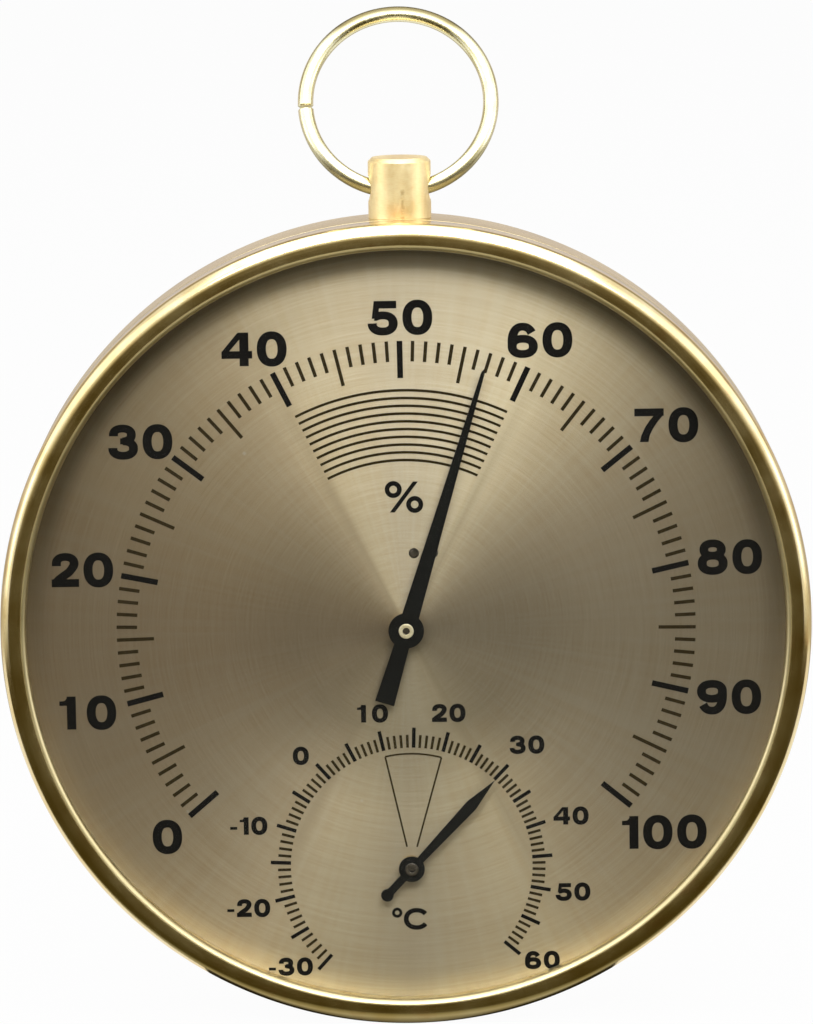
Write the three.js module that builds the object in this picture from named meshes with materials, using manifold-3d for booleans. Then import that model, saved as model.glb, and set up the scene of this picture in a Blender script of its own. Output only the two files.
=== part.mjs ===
// Round thermo-hygrometer with a hanging ring, in millimetres.
// +Z is up and the dial faces -Y. The origin is the centre of the flat back of the case.
// Turned pieces are profiles of [radius, y] points revolved about Y.
// Plates are drawn as seen from the front.

import * as THREE from "three";
import { mergeVertices, toCreasedNormals } from "three/addons/utils/BufferGeometryUtils.js";
import Module from "manifold-3d";

const wasm = await Module();
wasm.setup();

// Clearances
const seatGap = 0.3; // between pressed and spun pieces that touch
const fitGap = 0.1; // between the small turned and riveted pieces of the movements

// Case
const caseRadius = 51;
const sheet = 0.8; // wall of the case and of the bezel
const backEdgeRadius = 5.1; // drawn corner between the side wall and the back
const neckLength = 2.05; // stepped rim that the bezel slides over
const grooveDepth = 0.4; // snap groove round the neck
const grooveWidth = 0.9;
const ventCount = 12;
const ventRadius = 1.5;
const ventInset = 15; // vents' centres inside the outer radius

// Bezel
const lipWidth = 3.3; // from the clear opening to the outside
const lipRounding = 0.7;
const shoulderRounding = 1.25;
const beadHeight = 0.4; // snap bead that enters the groove

// Window, seal and spacers
const glassThickness = 1.8;
const glassChamfer = 0.2;
const gasketThickness = 0.35;
const gasketWidth = 0.7;
const frontSpacerWall = 0.5;
const rearSpacerWall = 0.8;
const rearSpacerFlange = 2;
const rearSpacerInset = 0.5; // from the edge of the case's flat floor

// Dial
const dialThickness = 0.6;
const dialTurn = -0.48; // degrees that the dial sits off the line of the post
const hygrometerDrop = 0.95; // hygrometer axis below the case axis
const thermometerRise = 17.1; // thermometer axis above the lower edge of the dial

// Hanger
const postRadius = 3.95;
const postHeight = 7.5;
const postChamfer = 0.5;
const postFromBack = 10; // post axis in front of the back plane
const holeHeight = 3.6; // cross hole above the case wall
const tenonRadius = 1.9;
const tenonHeadRadius = 2.5;
const tenonHeadThickness = 0.9;
const washerRadius = 2.9;
const washerThickness = 0.5;
const ringDiameter = 25.4; // outside
const wireDiameter = 2;
const ringJoint = 0.35; // open butt joint
const ringJointAngle = 267; // degrees clockwise from the top

// Both hands and their eyelets
const handHeight = 1.6; // back of each hand above the dial
const handThickness = 0.3;
const handToSpacerFront = 0.8; // hands behind the front of the spacer
const eyeletWall = 0.2;
const eyeletFlange = 0.25; // thickness
const eyeletRunningGap = 0.4; // between an eyelet and the bush behind it

// Hygrometer hand and movement
const hygrometerZeroAngle = -130; // degrees clockwise from the 50 % mark
const hygrometerSpan = 260;
const hygrometerReading = 56.8; // per cent, at rest
const hygrometerHandLength = 34.65;
const hygrometerHandRootWidth = 2.2;
const hygrometerHandTipWidth = 0.45;
const hygrometerHubRadius = 2.25;
const hygrometerTailLength = 9.7;
const hygrometerTailRootWidth = 1.95;
const hygrometerTailEndWidth = 2.5;
const hygrometerArborRadius = 0.45;
const hygrometerCoil = {
  innerRadius: 1.55,
  outerRadius: 7.95,
  turns: 8,
  thickness: 0.25,
  height: 3,
  runLength: 2.4, // straight end of the strip
};
const hygrometerCoilDepth = 3.9; // front edge of the coil behind the dial
const hygrometerFrontBush = { wall: 0.9, collarWidth: 0.6, flangeThickness: 0.5 };
const hygrometerRearBearing = { wall: 0.95, collarWidth: 0.7, flangeThickness: 0.4 };
const bridge = { thickness: 0.8, width: 6, offset: 2.4, endRadius: 3.2 };
const bridgeClearance = 2.3; // from the adjuster's upper tab to the bridge's upright
const bridgeRivetSpacing = 2.4;
const bridgeRivetInset = 2.55; // from the top of the bridge to the rivets' centres
const bridgeRivetEdge = 1.1; // from their centres to the lower edge of the bridge's foot
const bridgeRivetRadius = 0.55;
const adjusterThickness = 0.9;
const adjusterGap = 1.5; // from the coil to the adjuster's hub
const adjusterHub = 3.4;
const adjusterArmWidth = 2.4;
const adjusterReach = 13;
const adjusterSweep = 12; // degrees each way
const adjusterSlotWidth = 3;
const adjusterSlotMargin = 0.9; // more slot at each end than the sweep needs
const movementClearance = 1.9; // from the bridge to the back of the rear spacer

// Thermometer hand and movement
const thermometerReadingAngle = 43.8; // degrees clockwise from the dial's upright, at rest
const thermometerHandLength = 15.55;
const thermometerHandRootWidth = 0.95;
const thermometerHandWidth = 1.5; // at its widest
const thermometerHandTaperLength = 4.35; // from the widest place to the point
const thermometerHubRadius = 1.65;
const thermometerTailLength = 4.6;
const thermometerTailRootWidth = 1;
const thermometerTailEndRadius = 0.8;
const thermometerArborRadius = 0.35;
const thermometerCoil = {
  innerRadius: 1.3,
  outerRadius: 6.15,
  turns: 6,
  thickness: 0.2,
  height: 2.2,
  runLength: 2.2,
};
const thermometerCoilDepth = 2.2;
const thermometerCoilGap = 1.6; // from the coil to the frame's rear leaf
const thermometerFrontBush = { wall: 0.675, collarWidth: 0.3, flangeThickness: 0.4 };
const thermometerFrame = { thickness: 0.6, width: 4, offset: 0, endRadius: 2.6, footHeight: 1.2 };
const arborTail = 0.8; // pivot behind the thermometer's frame
const arborPivotLength = 0.5;

// Rivets of the two coils
const coilRivetRadius = 0.4;
const coilRivetHead = 0.8;

// Facets round a full turn
const fine = 64;
const medium = 28;
const coarse = 20;
const small = 12;

// Depth of each movement behind the dial, from its coil back
const adjusterDepth = hygrometerCoilDepth + hygrometerCoil.height + adjusterGap;
const bridgeDepth = adjusterDepth + adjusterThickness + bridge.thickness;
const frameLeafDepth = thermometerCoilDepth + thermometerCoil.height + thermometerCoilGap;
const frameDepth = frameLeafDepth + thermometerFrame.thickness;
const rearSpacerDepth = bridgeDepth + movementClearance;
const frontSpacerDepth = handHeight + handThickness + handToSpacerFront;

// Stack from the back to the front, as y of each face
const floorY = -sheet;
const rearSpacerBack = floorY - seatGap;
const rearSpacerFront = rearSpacerBack - rearSpacerDepth;
const dialBack = rearSpacerFront - seatGap;
const dialFront = dialBack - dialThickness;
const frontSpacerBack = dialFront - seatGap;
const frontSpacerFront = frontSpacerBack - frontSpacerDepth;
const glassBack = frontSpacerFront - seatGap;
const glassFront = glassBack - glassThickness;
const flangeBack = glassFront - seatGap;
const bezelFront = flangeBack - sheet;
const gasketFront = glassBack + seatGap;
const gasketBack = gasketFront + gasketThickness;
const neckFront = gasketBack + seatGap;
const neckBack = neckFront + neckLength;
const bezelBack = neckBack - seatGap;

// Nested radii, from the outside in
const lipRadius = caseRadius - lipWidth;
const wallInner = caseRadius - sheet;
const neckOuter = wallInner - seatGap;
const neckInner = neckOuter - sheet;
const glassRadius = wallInner - seatGap - fitGap;
const frontSpacerOuter = neckInner - seatGap;
const frontSpacerInner = frontSpacerOuter - frontSpacerWall;
const dialRadius = frontSpacerOuter;
const rearSpacerOuter = caseRadius - backEdgeRadius - rearSpacerInset;
const rearSpacerInner = rearSpacerOuter - rearSpacerWall;

// Axes of the two movements, in the dial's own frame
const hygrometerZ = -hygrometerDrop;
const thermometerZ = thermometerRise - dialRadius;

// Hands
const handBack = dialFront - handHeight;
const handFront = handBack - handThickness;

// Tenon and washer inside the case wall: the washer's rim clears the curve of the wall
const washerTop = Math.sqrt(wallInner ** 2 - washerRadius ** 2) - 2 * fitGap;
const tenonHeadTop = washerTop - washerThickness - fitGap;

// Depths of the pieces behind the dial
const bridgeFront = dialBack + fitGap;
const bridgeLeafBack = bridgeFront + bridgeDepth;
const bridgeLeafFront = bridgeLeafBack - bridge.thickness;
const adjusterBack = bridgeLeafFront - fitGap;
const adjusterFront = adjusterBack - adjusterThickness;
const frameLeafBack = bridgeFront + frameDepth;
const frameLeafFront = frameLeafBack - thermometerFrame.thickness;
const hygrometerCoilFront = dialBack + hygrometerCoilDepth;
const thermometerCoilFront = dialBack + thermometerCoilDepth;

// Hanging ring: the wire's curve rises inside the straight hole, which is wide enough for it
const wireRadius = wireDiameter / 2;
const ringRadius = ringDiameter / 2 - wireRadius;
const wireRise = ringRadius - Math.sqrt(ringRadius ** 2 - postRadius ** 2);
const crossHoleRadius = wireRadius + wireRise / 2 + seatGap;
const ringCentreReach = ringRadius - wireRise / 2;
const holeZ = caseRadius + holeHeight;
const ringLean = Math.asin((postFromBack - wireRadius - fitGap / 2) / (ringCentreReach + ringRadius));

const finishes = {
  brass: { color: 0xd8b45a, metalness: 1, roughness: 0.28 },
  glass: { color: 0xffffff, metalness: 0, roughness: 0.05, transparent: true, opacity: 0.2 },
  rubber: { color: 0x1c1c1c, metalness: 0, roughness: 0.8 },
  dial: { color: 0xb3a583, metalness: 0.8, roughness: 0.45 },
  black: { color: 0x0b0b0b, metalness: 0.1, roughness: 0.5 },
  steel: { color: 0x8d8d8d, metalness: 1, roughness: 0.4 },
  darkSteel: { color: 0x3a3a3a, metalness: 1, roughness: 0.45 },
  copper: { color: 0xb0714a, metalness: 1, roughness: 0.45 },
  card: { color: 0xd9cfae, metalness: 0, roughness: 0.8 },
};

// A closed solid made from a geometry's triangles
function solidFrom(geometry) {
  const bare = geometry.index ? geometry.toNonIndexed() : geometry.clone();
  bare.deleteAttribute("normal");
  bare.deleteAttribute("uv");
  const merged = mergeVertices(bare, 1e-4);
  const corners = merged.index.array;
  const kept = [];
  for (let i = 0; i < corners.length; i += 3) {
    const [a, b, c] = [corners[i], corners[i + 1], corners[i + 2]];
    if (a !== b && b !== c && c !== a) kept.push(a, b, c);
  }
  const make = (triangles) => new wasm.Manifold(
    new wasm.Mesh({
      numProp: 3,
      vertProperties: merged.attributes.position.array,
      triVerts: new Uint32Array(triangles),
    }),
  );
  const made = make(kept);
  return made.volume() < 0 ? make(kept.reverse()) : made;
}

// A named mesh of one finish from a solid
function meshOf(name, finish, solid) {
  const { vertProperties, triVerts, numProp } = solid.getMesh();
  const positions = new Float32Array((vertProperties.length / numProp) * 3);
  for (let i = 0; i < positions.length / 3; i++) {
    positions.set(vertProperties.subarray(i * numProp, i * numProp + 3), i * 3);
  }
  const geometry = new THREE.BufferGeometry();
  geometry.setAttribute("position", new THREE.BufferAttribute(positions, 3));
  geometry.setIndex(new THREE.BufferAttribute(triVerts, 1));
  const material = new THREE.MeshStandardMaterial(finishes[finish]);
  const mesh = new THREE.Mesh(toCreasedNormals(geometry, Math.PI / 6), material);
  mesh.name = name;
  return mesh;
}

// A profile of [radius, y] points revolved about the Y axis
function turned(profile, facets = medium) {
  const points = profile.map(([radius, y]) => new THREE.Vector2(radius, y));
  return solidFrom(new THREE.LatheGeometry(points, facets));
}

// A ring of rectangular section
function washer(inner, outer, front, back, facets = medium) {
  return turned([[inner, front], [outer, front], [outer, back], [inner, back], [inner, front]], facets);
}

// A round bar along Y
function bar(radius, front, back, facets = medium) {
  return turned([[0, front], [radius, front], [radius, back], [0, back]], facets);
}

// A cutter for a hole along Y that goes right through a plate
function hole(radius, front, back, facets = coarse) {
  const over = back - front;
  return bar(radius, front - over, back + over, facets);
}

// A flat plate in the plane of the dial, drawn as seen from the front
function plate(shape, front, back, curveSegments = 8) {
  const depth = back - front;
  const geometry = new THREE.ExtrudeGeometry(shape, { depth, bevelEnabled: false, curveSegments });
  return solidFrom(geometry.rotateX(Math.PI / 2).translate(0, back, 0));
}

// A strap bent in the Y-Z plane: its profile is drawn in [y, z] and it is as wide as its X range
function strap(profile, left, right) {
  const shape = new THREE.Shape(profile.map(([y, z]) => new THREE.Vector2(y, z)));
  const geometry = new THREE.ExtrudeGeometry(shape, { depth: right - left, bevelEnabled: false });
  geometry.rotateY(Math.PI / 2).rotateX(Math.PI / 2).translate(left, 0, 0);
  return solidFrom(geometry);
}

// Points of an arc in a [radius, y] or [y, z] profile, angles in degrees
function arc(x, y, radius, from, to, steps) {
  const points = [];
  for (let i = 0; i <= steps; i++) {
    const angle = THREE.MathUtils.degToRad(from + ((to - from) * i) / steps);
    points.push([x + radius * Math.cos(angle), y + radius * Math.sin(angle)]);
  }
  return points;
}

// A round cutter along X or Z, through a point
function cutter(direction, radius, length, x, y, z, facets = medium) {
  const geometry = new THREE.CylinderGeometry(radius, radius, length, facets);
  if (direction === "x") geometry.rotateZ(Math.PI / 2);
  if (direction === "z") geometry.rotateX(Math.PI / 2);
  return solidFrom(geometry.translate(x, y, z));
}

// A point at an angle, in degrees clockwise from the top, as [x, z]
function polar(radius, degrees) {
  const angle = THREE.MathUtils.degToRad(degrees);
  return [radius * Math.sin(angle), radius * Math.cos(angle)];
}

// Deep-drawn cup with a neck for the bezel, vent holes, the post's hole and the adjuster's slot
function caseShell() {
  const cornerR = caseRadius - backEdgeRadius;
  const grooveMiddle = (neckFront + neckBack) / 2;
  let body = turned([
    [0, 0],
    ...arc(cornerR, -backEdgeRadius, backEdgeRadius, 90, 0, 6),
    [caseRadius, neckBack],
    [neckOuter, neckBack],
    [neckOuter, grooveMiddle + grooveWidth / 2],
    [neckOuter - grooveDepth, grooveMiddle + grooveWidth / 2 - grooveDepth / 2],
    [neckOuter - grooveDepth, grooveMiddle - grooveWidth / 2 + grooveDepth / 2],
    [neckOuter, grooveMiddle - grooveWidth / 2],
    [neckOuter, neckFront],
    [neckInner, neckFront],
    [neckInner, neckBack + sheet],
    [wallInner, neckBack + sheet + seatGap],
    ...arc(cornerR, -backEdgeRadius, backEdgeRadius - sheet, 0, 90, 5),
    [0, floorY],
  ], fine);
  body = body.subtract(
    cutter("z", tenonRadius + fitGap, 6 * sheet, 0, -postFromBack, caseRadius - sheet / 2, coarse),
  );
  for (let i = 0; i < ventCount; i++) {
    const [x, z] = polar(caseRadius - ventInset, ((i + 0.5) * 360) / ventCount);
    body = body.subtract(bar(ventRadius, -2 * sheet, sheet, small).translate([x, 0, z]));
  }
  return meshOf("case_shell", "brass", body.subtract(adjusterSlot()));
}

// Curved slot in the back, centred on the hygrometer's axis and as long as the lever's sweep
function adjusterSlot() {
  const half = adjusterSlotWidth / 2;
  const reach = THREE.MathUtils.degToRad(adjusterSweep) + adjusterSlotMargin / adjusterReach;
  const down = -Math.PI / 2;
  const shape = new THREE.Shape();
  shape.absarc(0, 0, adjusterReach + half, down - reach, down + reach, false);
  const [rightX, rightZ] = [adjusterReach * Math.cos(down + reach), adjusterReach * Math.sin(down + reach)];
  shape.absarc(rightX, rightZ, half, down + reach, down + reach + Math.PI, false);
  shape.absarc(0, 0, adjusterReach - half, down + reach, down - reach, true);
  const [leftX, leftZ] = [adjusterReach * Math.cos(down - reach), adjusterReach * Math.sin(down - reach)];
  shape.absarc(leftX, leftZ, half, down - reach + Math.PI, down - reach + 2 * Math.PI, false);
  return plate(shape, -2 * sheet, sheet, 6).translate([0, 0, hygrometerZ]).rotate([0, dialTurn, 0]);
}

// Spun ring with a rounded shoulder, a rolled lip and a snap bead inside its skirt
function bezelRing() {
  const shoulderR = caseRadius - shoulderRounding;
  const shoulderY = bezelFront + shoulderRounding;
  const beadMiddle = (neckFront + neckBack) / 2;
  const beadR = wallInner - beadHeight;
  const beadHalf = grooveWidth / 2 - seatGap;
  const profile = [
    [caseRadius, bezelBack],
    ...arc(shoulderR, shoulderY, shoulderRounding, 0, -90, 6),
    ...arc(lipRadius + lipRounding, bezelFront + lipRounding, lipRounding, -90, -180, 4),
    [lipRadius, flangeBack],
    ...arc(shoulderR, shoulderY, shoulderRounding - sheet, -90, 0, 2),
    [wallInner, beadMiddle - beadHalf - beadHeight / 2],
    [beadR, beadMiddle - beadHalf],
    [beadR, beadMiddle + beadHalf],
    [wallInner, beadMiddle + beadHalf + beadHeight / 2],
    [wallInner, bezelBack],
    [caseRadius, bezelBack],
  ];
  return meshOf("bezel_ring", "brass", turned(profile, fine));
}

function glassLens() {
  const inset = glassRadius - glassChamfer;
  return meshOf("glass_lens", "glass", turned([
    [0, glassFront],
    [inset, glassFront],
    [glassRadius, glassFront + glassChamfer],
    [glassRadius, glassBack - glassChamfer],
    [inset, glassBack],
    [0, glassBack],
  ], fine));
}

function lensGasket() {
  const outer = neckOuter;
  return meshOf("lens_gasket", "rubber", washer(outer - gasketWidth, outer, gasketFront, gasketBack, fine));
}

function frontSpacerRing() {
  const ring = washer(frontSpacerInner, frontSpacerOuter, frontSpacerFront, frontSpacerBack, fine);
  return meshOf("front_spacer_ring", "brass", ring);
}

// Tube that stands on the case floor, with a flange behind the edge of the dial
function rearSpacerRing() {
  return meshOf("rear_spacer_ring", "card", turned([
    [rearSpacerInner, rearSpacerFront],
    [rearSpacerOuter + rearSpacerFlange, rearSpacerFront],
    [rearSpacerOuter + rearSpacerFlange, rearSpacerFront + rearSpacerWall],
    [rearSpacerOuter, rearSpacerFront + rearSpacerWall],
    [rearSpacerOuter, rearSpacerBack],
    [rearSpacerInner, rearSpacerBack],
    [rearSpacerInner, rearSpacerFront],
  ], fine));
}

// Disc with the holes of both bushes and of the bridge's rivets
function dialPlate() {
  const holes = [
    [0, hygrometerZ, bushBarrel(hygrometerArborRadius, hygrometerFrontBush) + fitGap, coarse],
    [0, thermometerZ, bushBarrel(thermometerArborRadius, thermometerFrontBush) + fitGap, coarse],
    ...bridgeRivetPlaces().map(([x, z]) => [x, z + hygrometerZ, bridgeRivetRadius + fitGap, small]),
  ];
  let body = bar(dialRadius, dialFront, dialBack, fine);
  for (const [x, z, radius, facets] of holes) {
    body = body.subtract(hole(radius, dialFront, dialBack, facets).translate([x, 0, z]));
  }
  return meshOf("dial_plate", "dial", body);
}

// Turned post with a chamfered top, a saddle base, a cross hole and a tenon riveted inside the case
function hangerPost() {
  const top = caseRadius + postHeight;
  const tenonTop = caseRadius + 3 * seatGap;
  const body = turned([
    [0, wallInner],
    [postRadius, wallInner],
    [postRadius, top - postChamfer],
    [postRadius - postChamfer, top],
    [0, top],
  ], medium);
  const tenon = turned([
    [0, tenonHeadTop - tenonHeadThickness],
    [tenonRadius, tenonHeadTop - tenonHeadThickness],
    [tenonHeadRadius, tenonHeadTop - tenonHeadThickness / 2],
    [tenonHeadRadius, tenonHeadTop],
    [tenonRadius, tenonHeadTop],
    [tenonRadius, tenonTop],
    [0, tenonTop],
  ], medium);
  const place = (solid) => solid.rotate([90, 0, 0]).translate([0, -postFromBack, 0]);
  const saddle = bar(caseRadius + seatGap, -postFromBack - 2 * postRadius, 0, fine);
  const crossHole = cutter("x", crossHoleRadius, 4 * postRadius, 0, -postFromBack, holeZ, coarse);
  return meshOf("hanger_post", "brass", place(body).subtract(saddle).subtract(crossHole).add(place(tenon)));
}

function postWasher() {
  const flat = washer(tenonRadius + fitGap, washerRadius, washerTop - washerThickness, washerTop, coarse);
  return meshOf("post_washer", "steel", flat.rotate([90, 0, 0]).translate([0, -postFromBack, 0]));
}

// Arc of wire, from one side of the open joint round to the other, upright about its hinge line
class RingPath extends THREE.Curve {
  getPoint(t, target = new THREE.Vector3()) {
    const opening = THREE.MathUtils.radToDeg(ringJoint / ringRadius);
    const [x, z] = polar(ringRadius, ringJointAngle + opening / 2 + (360 - opening) * t);
    return target.set(x, 0, z + ringCentreReach);
  }
}

function hangingRing() {
  const section = new THREE.Shape().absarc(0, 0, wireRadius, 0, 2 * Math.PI, false);
  const geometry = new THREE.ExtrudeGeometry(section, {
    steps: 48,
    curveSegments: 5,
    bevelEnabled: false,
    extrudePath: new RingPath(),
  });
  return meshOf("hanging_ring", "brass", solidFrom(geometry));
}

// Outline of the large hand: a tapering blade, a round hub and a tail that widens to a flat end
function hygrometerHandShape() {
  const [up, down] = [Math.PI / 2, -Math.PI / 2];
  const bladeAngle = Math.asin(hygrometerHandRootWidth / 2 / hygrometerHubRadius);
  const tailAngle = Math.asin(hygrometerTailRootWidth / 2 / hygrometerHubRadius);
  const halfTip = hygrometerHandTipWidth / 2;
  const halfEnd = hygrometerTailEndWidth / 2;
  const shape = new THREE.Shape();
  shape.moveTo(-halfTip, hygrometerHandLength - 2 * halfTip);
  shape.lineTo(0, hygrometerHandLength);
  shape.lineTo(halfTip, hygrometerHandLength - 2 * halfTip);
  shape.absarc(0, 0, hygrometerHubRadius, up - bladeAngle, down + tailAngle, true);
  shape.lineTo(halfEnd, -hygrometerTailLength);
  shape.lineTo(-halfEnd, -hygrometerTailLength);
  shape.absarc(0, 0, hygrometerHubRadius, down - tailAngle, up + bladeAngle - 2 * Math.PI, true);
  return shape;
}

// Outline of the small hand: a lance, widest near its point, and a tail with a round end
function thermometerHandShape() {
  const [up, down] = [Math.PI / 2, -Math.PI / 2];
  const bladeAngle = Math.asin(thermometerHandRootWidth / 2 / thermometerHubRadius);
  const tailAngle = Math.asin(thermometerTailRootWidth / 2 / thermometerHubRadius);
  const neck = Math.acos(thermometerTailRootWidth / 2 / thermometerTailEndRadius);
  const halfWidth = thermometerHandWidth / 2;
  const widest = thermometerHandLength - thermometerHandTaperLength;
  const shape = new THREE.Shape();
  shape.moveTo(0, thermometerHandLength);
  shape.lineTo(halfWidth, widest);
  shape.absarc(0, 0, thermometerHubRadius, up - bladeAngle, down + tailAngle, true);
  shape.absarc(0, -thermometerTailLength, thermometerTailEndRadius, neck, -Math.PI - neck, true);
  shape.absarc(0, 0, thermometerHubRadius, down - tailAngle, up + bladeAngle - 2 * Math.PI, true);
  shape.lineTo(-halfWidth, widest);
  return shape;
}

function handMesh(name, shape, arborRadius) {
  const blade = plate(shape, handFront, handBack, 10);
  const eyeletHole = hole(eyeletBarrel(arborRadius) + fitGap, handFront, handBack);
  return meshOf(name, "black", blade.subtract(eyeletHole));
}

function eyeletBarrel(arborRadius) {
  return arborRadius + fitGap + eyeletWall;
}

// Eyelet riveted in a hand's hub: a flange in front and a barrel that grips the arbor
function eyelet(name, finish, arborRadius, bush) {
  const barrel = eyeletBarrel(arborRadius);
  const rim = barrel + eyeletWall;
  const flangeBackY = handFront - fitGap / 2;
  const front = flangeBackY - eyeletFlange;
  const back = dialFront - fitGap - bush.flangeThickness - eyeletRunningGap;
  return meshOf(name, finish, turned([
    [arborRadius, front],
    [rim - eyeletFlange / 4, front],
    [rim, front + eyeletFlange / 2],
    [rim, flangeBackY],
    [barrel, flangeBackY],
    [barrel, back],
    [arborRadius + fitGap, back],
    [arborRadius + fitGap, flangeBackY],
    [arborRadius, flangeBackY],
    [arborRadius, front],
  ], coarse));
}

function bushBarrel(arborRadius, { wall }) {
  return arborRadius + fitGap + wall;
}

// Bush riveted through a plate or plates, with a flange on each side
function rivetedBush(name, arborRadius, bush, front, back) {
  const bore = arborRadius + fitGap;
  const barrel = bushBarrel(arborRadius, bush);
  const flange = barrel + bush.collarWidth;
  return meshOf(name, "brass", turned([
    [bore, front - fitGap - bush.flangeThickness],
    [flange, front - fitGap - bush.flangeThickness],
    [flange, front - fitGap],
    [barrel, front - fitGap],
    [barrel, back + fitGap],
    [flange, back + fitGap],
    [flange, back + fitGap + bush.flangeThickness],
    [bore, back + fitGap + bush.flangeThickness],
    [bore, front - fitGap - bush.flangeThickness],
  ], coarse));
}

// Rivet along Y with a low head at the front and a domed one at the back
function rivetAlongY(name, x, z, front, back) {
  const headRadius = 2 * bridgeRivetRadius;
  const headBack = back + fitGap + bridgeRivetRadius;
  const solid = turned([
    [0, front - fitGap],
    [bridgeRivetRadius - fitGap, front - fitGap],
    [bridgeRivetRadius, front],
    [bridgeRivetRadius, back + fitGap],
    [headRadius, back + fitGap],
    [bridgeRivetRadius, headBack],
    [0, headBack],
  ], small);
  return meshOf(name, "darkSteel", solid.translate([x, 0, z]));
}

// Height of the bridge above the hygrometer's axis
function bridgeReach() {
  return coilSeat(hygrometerCoil) + adjusterThickness + bridgeClearance + bridge.thickness;
}

function bridgeRivetPlaces() {
  const half = bridgeRivetSpacing / 2;
  const height = bridgeReach() - bridgeRivetInset;
  return [[bridge.offset - half, height], [bridge.offset + half, height]];
}

// C-shaped strap: a front leaf on the dial, an upright, and a rear leaf that reaches the axis
function bracketStrap({ thickness, width, offset }, reach, foot, front, back) {
  const inner = reach - thickness;
  const turnRadius = thickness;
  return strap([
    [front, reach - foot],
    ...arc(front + turnRadius, reach - turnRadius, turnRadius, 180, 90, 3),
    ...arc(back - turnRadius, reach - turnRadius, turnRadius, 90, 0, 3),
    [back, inner - thickness],
    [back - thickness, inner - thickness],
    [back - thickness, inner],
    [front + thickness, inner],
    [front + thickness, reach - foot],
  ], offset - width / 2, offset + width / 2);
}

// Leaf from the upright to a round end about the axis
function bracketLeaf({ thickness, width, offset, endRadius }, reach, front) {
  const shape = new THREE.Shape();
  const top = reach - thickness;
  const waist = (top + endRadius) / 2;
  shape.moveTo(offset - width / 2, top);
  shape.lineTo(offset - width / 2, waist);
  shape.absarc(0, 0, endRadius, Math.PI, 2 * Math.PI, false);
  shape.lineTo(offset + width / 2, waist);
  shape.lineTo(offset + width / 2, top);
  return plate(shape, front, front + thickness, 10);
}

// Bridge of the hygrometer, riveted to the back of the dial
function hygrometerBridge() {
  const reach = bridgeReach();
  const foot = bridgeRivetInset + bridgeRivetEdge;
  let body = bracketStrap(bridge, reach, foot, bridgeFront, bridgeLeafBack)
    .add(bracketLeaf(bridge, reach, bridgeLeafFront));
  const rivetCut = hole(bridgeRivetRadius + fitGap, bridgeFront, bridgeFront + bridge.thickness, small);
  for (const [x, z] of bridgeRivetPlaces()) {
    body = body.subtract(rivetCut.translate([x, 0, z]));
  }
  const bearing = rearBearingHole(bridgeLeafFront, bridgeLeafBack);
  return meshOf("hygrometer_bridge", "steel", body.subtract(bearing));
}

function rearBearingHole(front, back) {
  return hole(bushBarrel(hygrometerArborRadius, hygrometerRearBearing) + fitGap, front, back);
}

// Where the outer end of a coil lies flat on the tab or upright that holds it
function coilSeat({ outerRadius, thickness }) {
  return outerRadius + thickness / 2 + fitGap;
}

// Lever on the rear bush: one arm bent forward to hold the coil, the other back to the slot in the case
function hygrometerAdjuster() {
  const seat = coilSeat(hygrometerCoil);
  const half = adjusterArmWidth / 2;
  const armTop = seat + adjusterThickness;
  const armBottom = -adjusterReach - adjusterThickness / 2;
  const tabFront = hygrometerCoilFront;
  const tabBack = floorY - 2 * seatGap;
  const arm = strap([
    [adjusterFront, armBottom],
    [tabBack, armBottom],
    [tabBack, armBottom + adjusterThickness],
    [adjusterBack, armBottom + adjusterThickness],
    [adjusterBack, armTop],
    [tabFront, armTop],
    [tabFront, seat],
    [adjusterFront, seat],
  ], -half, half);
  const hub = bar(adjusterHub, adjusterFront, adjusterBack, medium);
  const bore = rearBearingHole(adjusterFront, adjusterBack);
  const rivet = coilRivetHole(hygrometerCoil, hygrometerCoilFront, adjusterThickness);
  return meshOf("hygrometer_adjuster", "brass", arm.add(hub).subtract(bore).subtract(rivet));
}

const coilSteps = 24; // in one turn

// A point of a coil's middle line, moved outwards by an offset
function coilPoint({ innerRadius, outerRadius, turns }, step, offset = 0) {
  const grown = ((outerRadius - innerRadius) * step) / (coilSteps * turns);
  return polar(innerRadius + grown + offset, (360 * step) / coilSteps);
}

// Outline of a spiral strip, with a straight run where its outer end is riveted at the top
function spiralShape(coil) {
  const side = (offset) => {
    const points = [];
    for (let step = 0; step <= coilSteps * coil.turns; step++) {
      points.push(new THREE.Vector2(...coilPoint(coil, step, offset)));
    }
    points.push(new THREE.Vector2(coil.runLength, coil.outerRadius + offset));
    return points;
  };
  return new THREE.Shape([...side(coil.thickness / 2), ...side(-coil.thickness / 2).reverse()]);
}

// Least space between one turn and the next, measured on points of the strip's middle line
function leastCoilGap(coil) {
  const points = [];
  for (let step = 0; step <= coilSteps * coil.turns; step++) points.push(coilPoint(coil, step));
  let least = Infinity;
  for (let i = 0; i < points.length; i++) {
    for (let j = i + coilSteps / 2; j < points.length; j++) {
      const away = Math.hypot(points[i][0] - points[j][0], points[i][1] - points[j][1]);
      least = Math.min(least, away - coil.thickness);
    }
  }
  return least;
}

// Hole for a coil's rivet, along Z through the strip's straight run and the wall behind it
function coilRivetHole(coil, front, wall) {
  const seat = coilSeat(coil);
  const from = seat - 2 * (coil.thickness + fitGap);
  const to = seat + 2 * wall;
  const [x, y, z] = [coil.runLength / 2, front + coil.height / 2, (from + to) / 2];
  return cutter("z", coilRivetRadius + fitGap, to - from, x, y, z, small);
}

function coilMesh(name, coil, front, wall) {
  const wound = plate(spiralShape(coil), front, front + coil.height);
  return meshOf(name, "copper", wound.subtract(coilRivetHole(coil, front, wall)));
}

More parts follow.
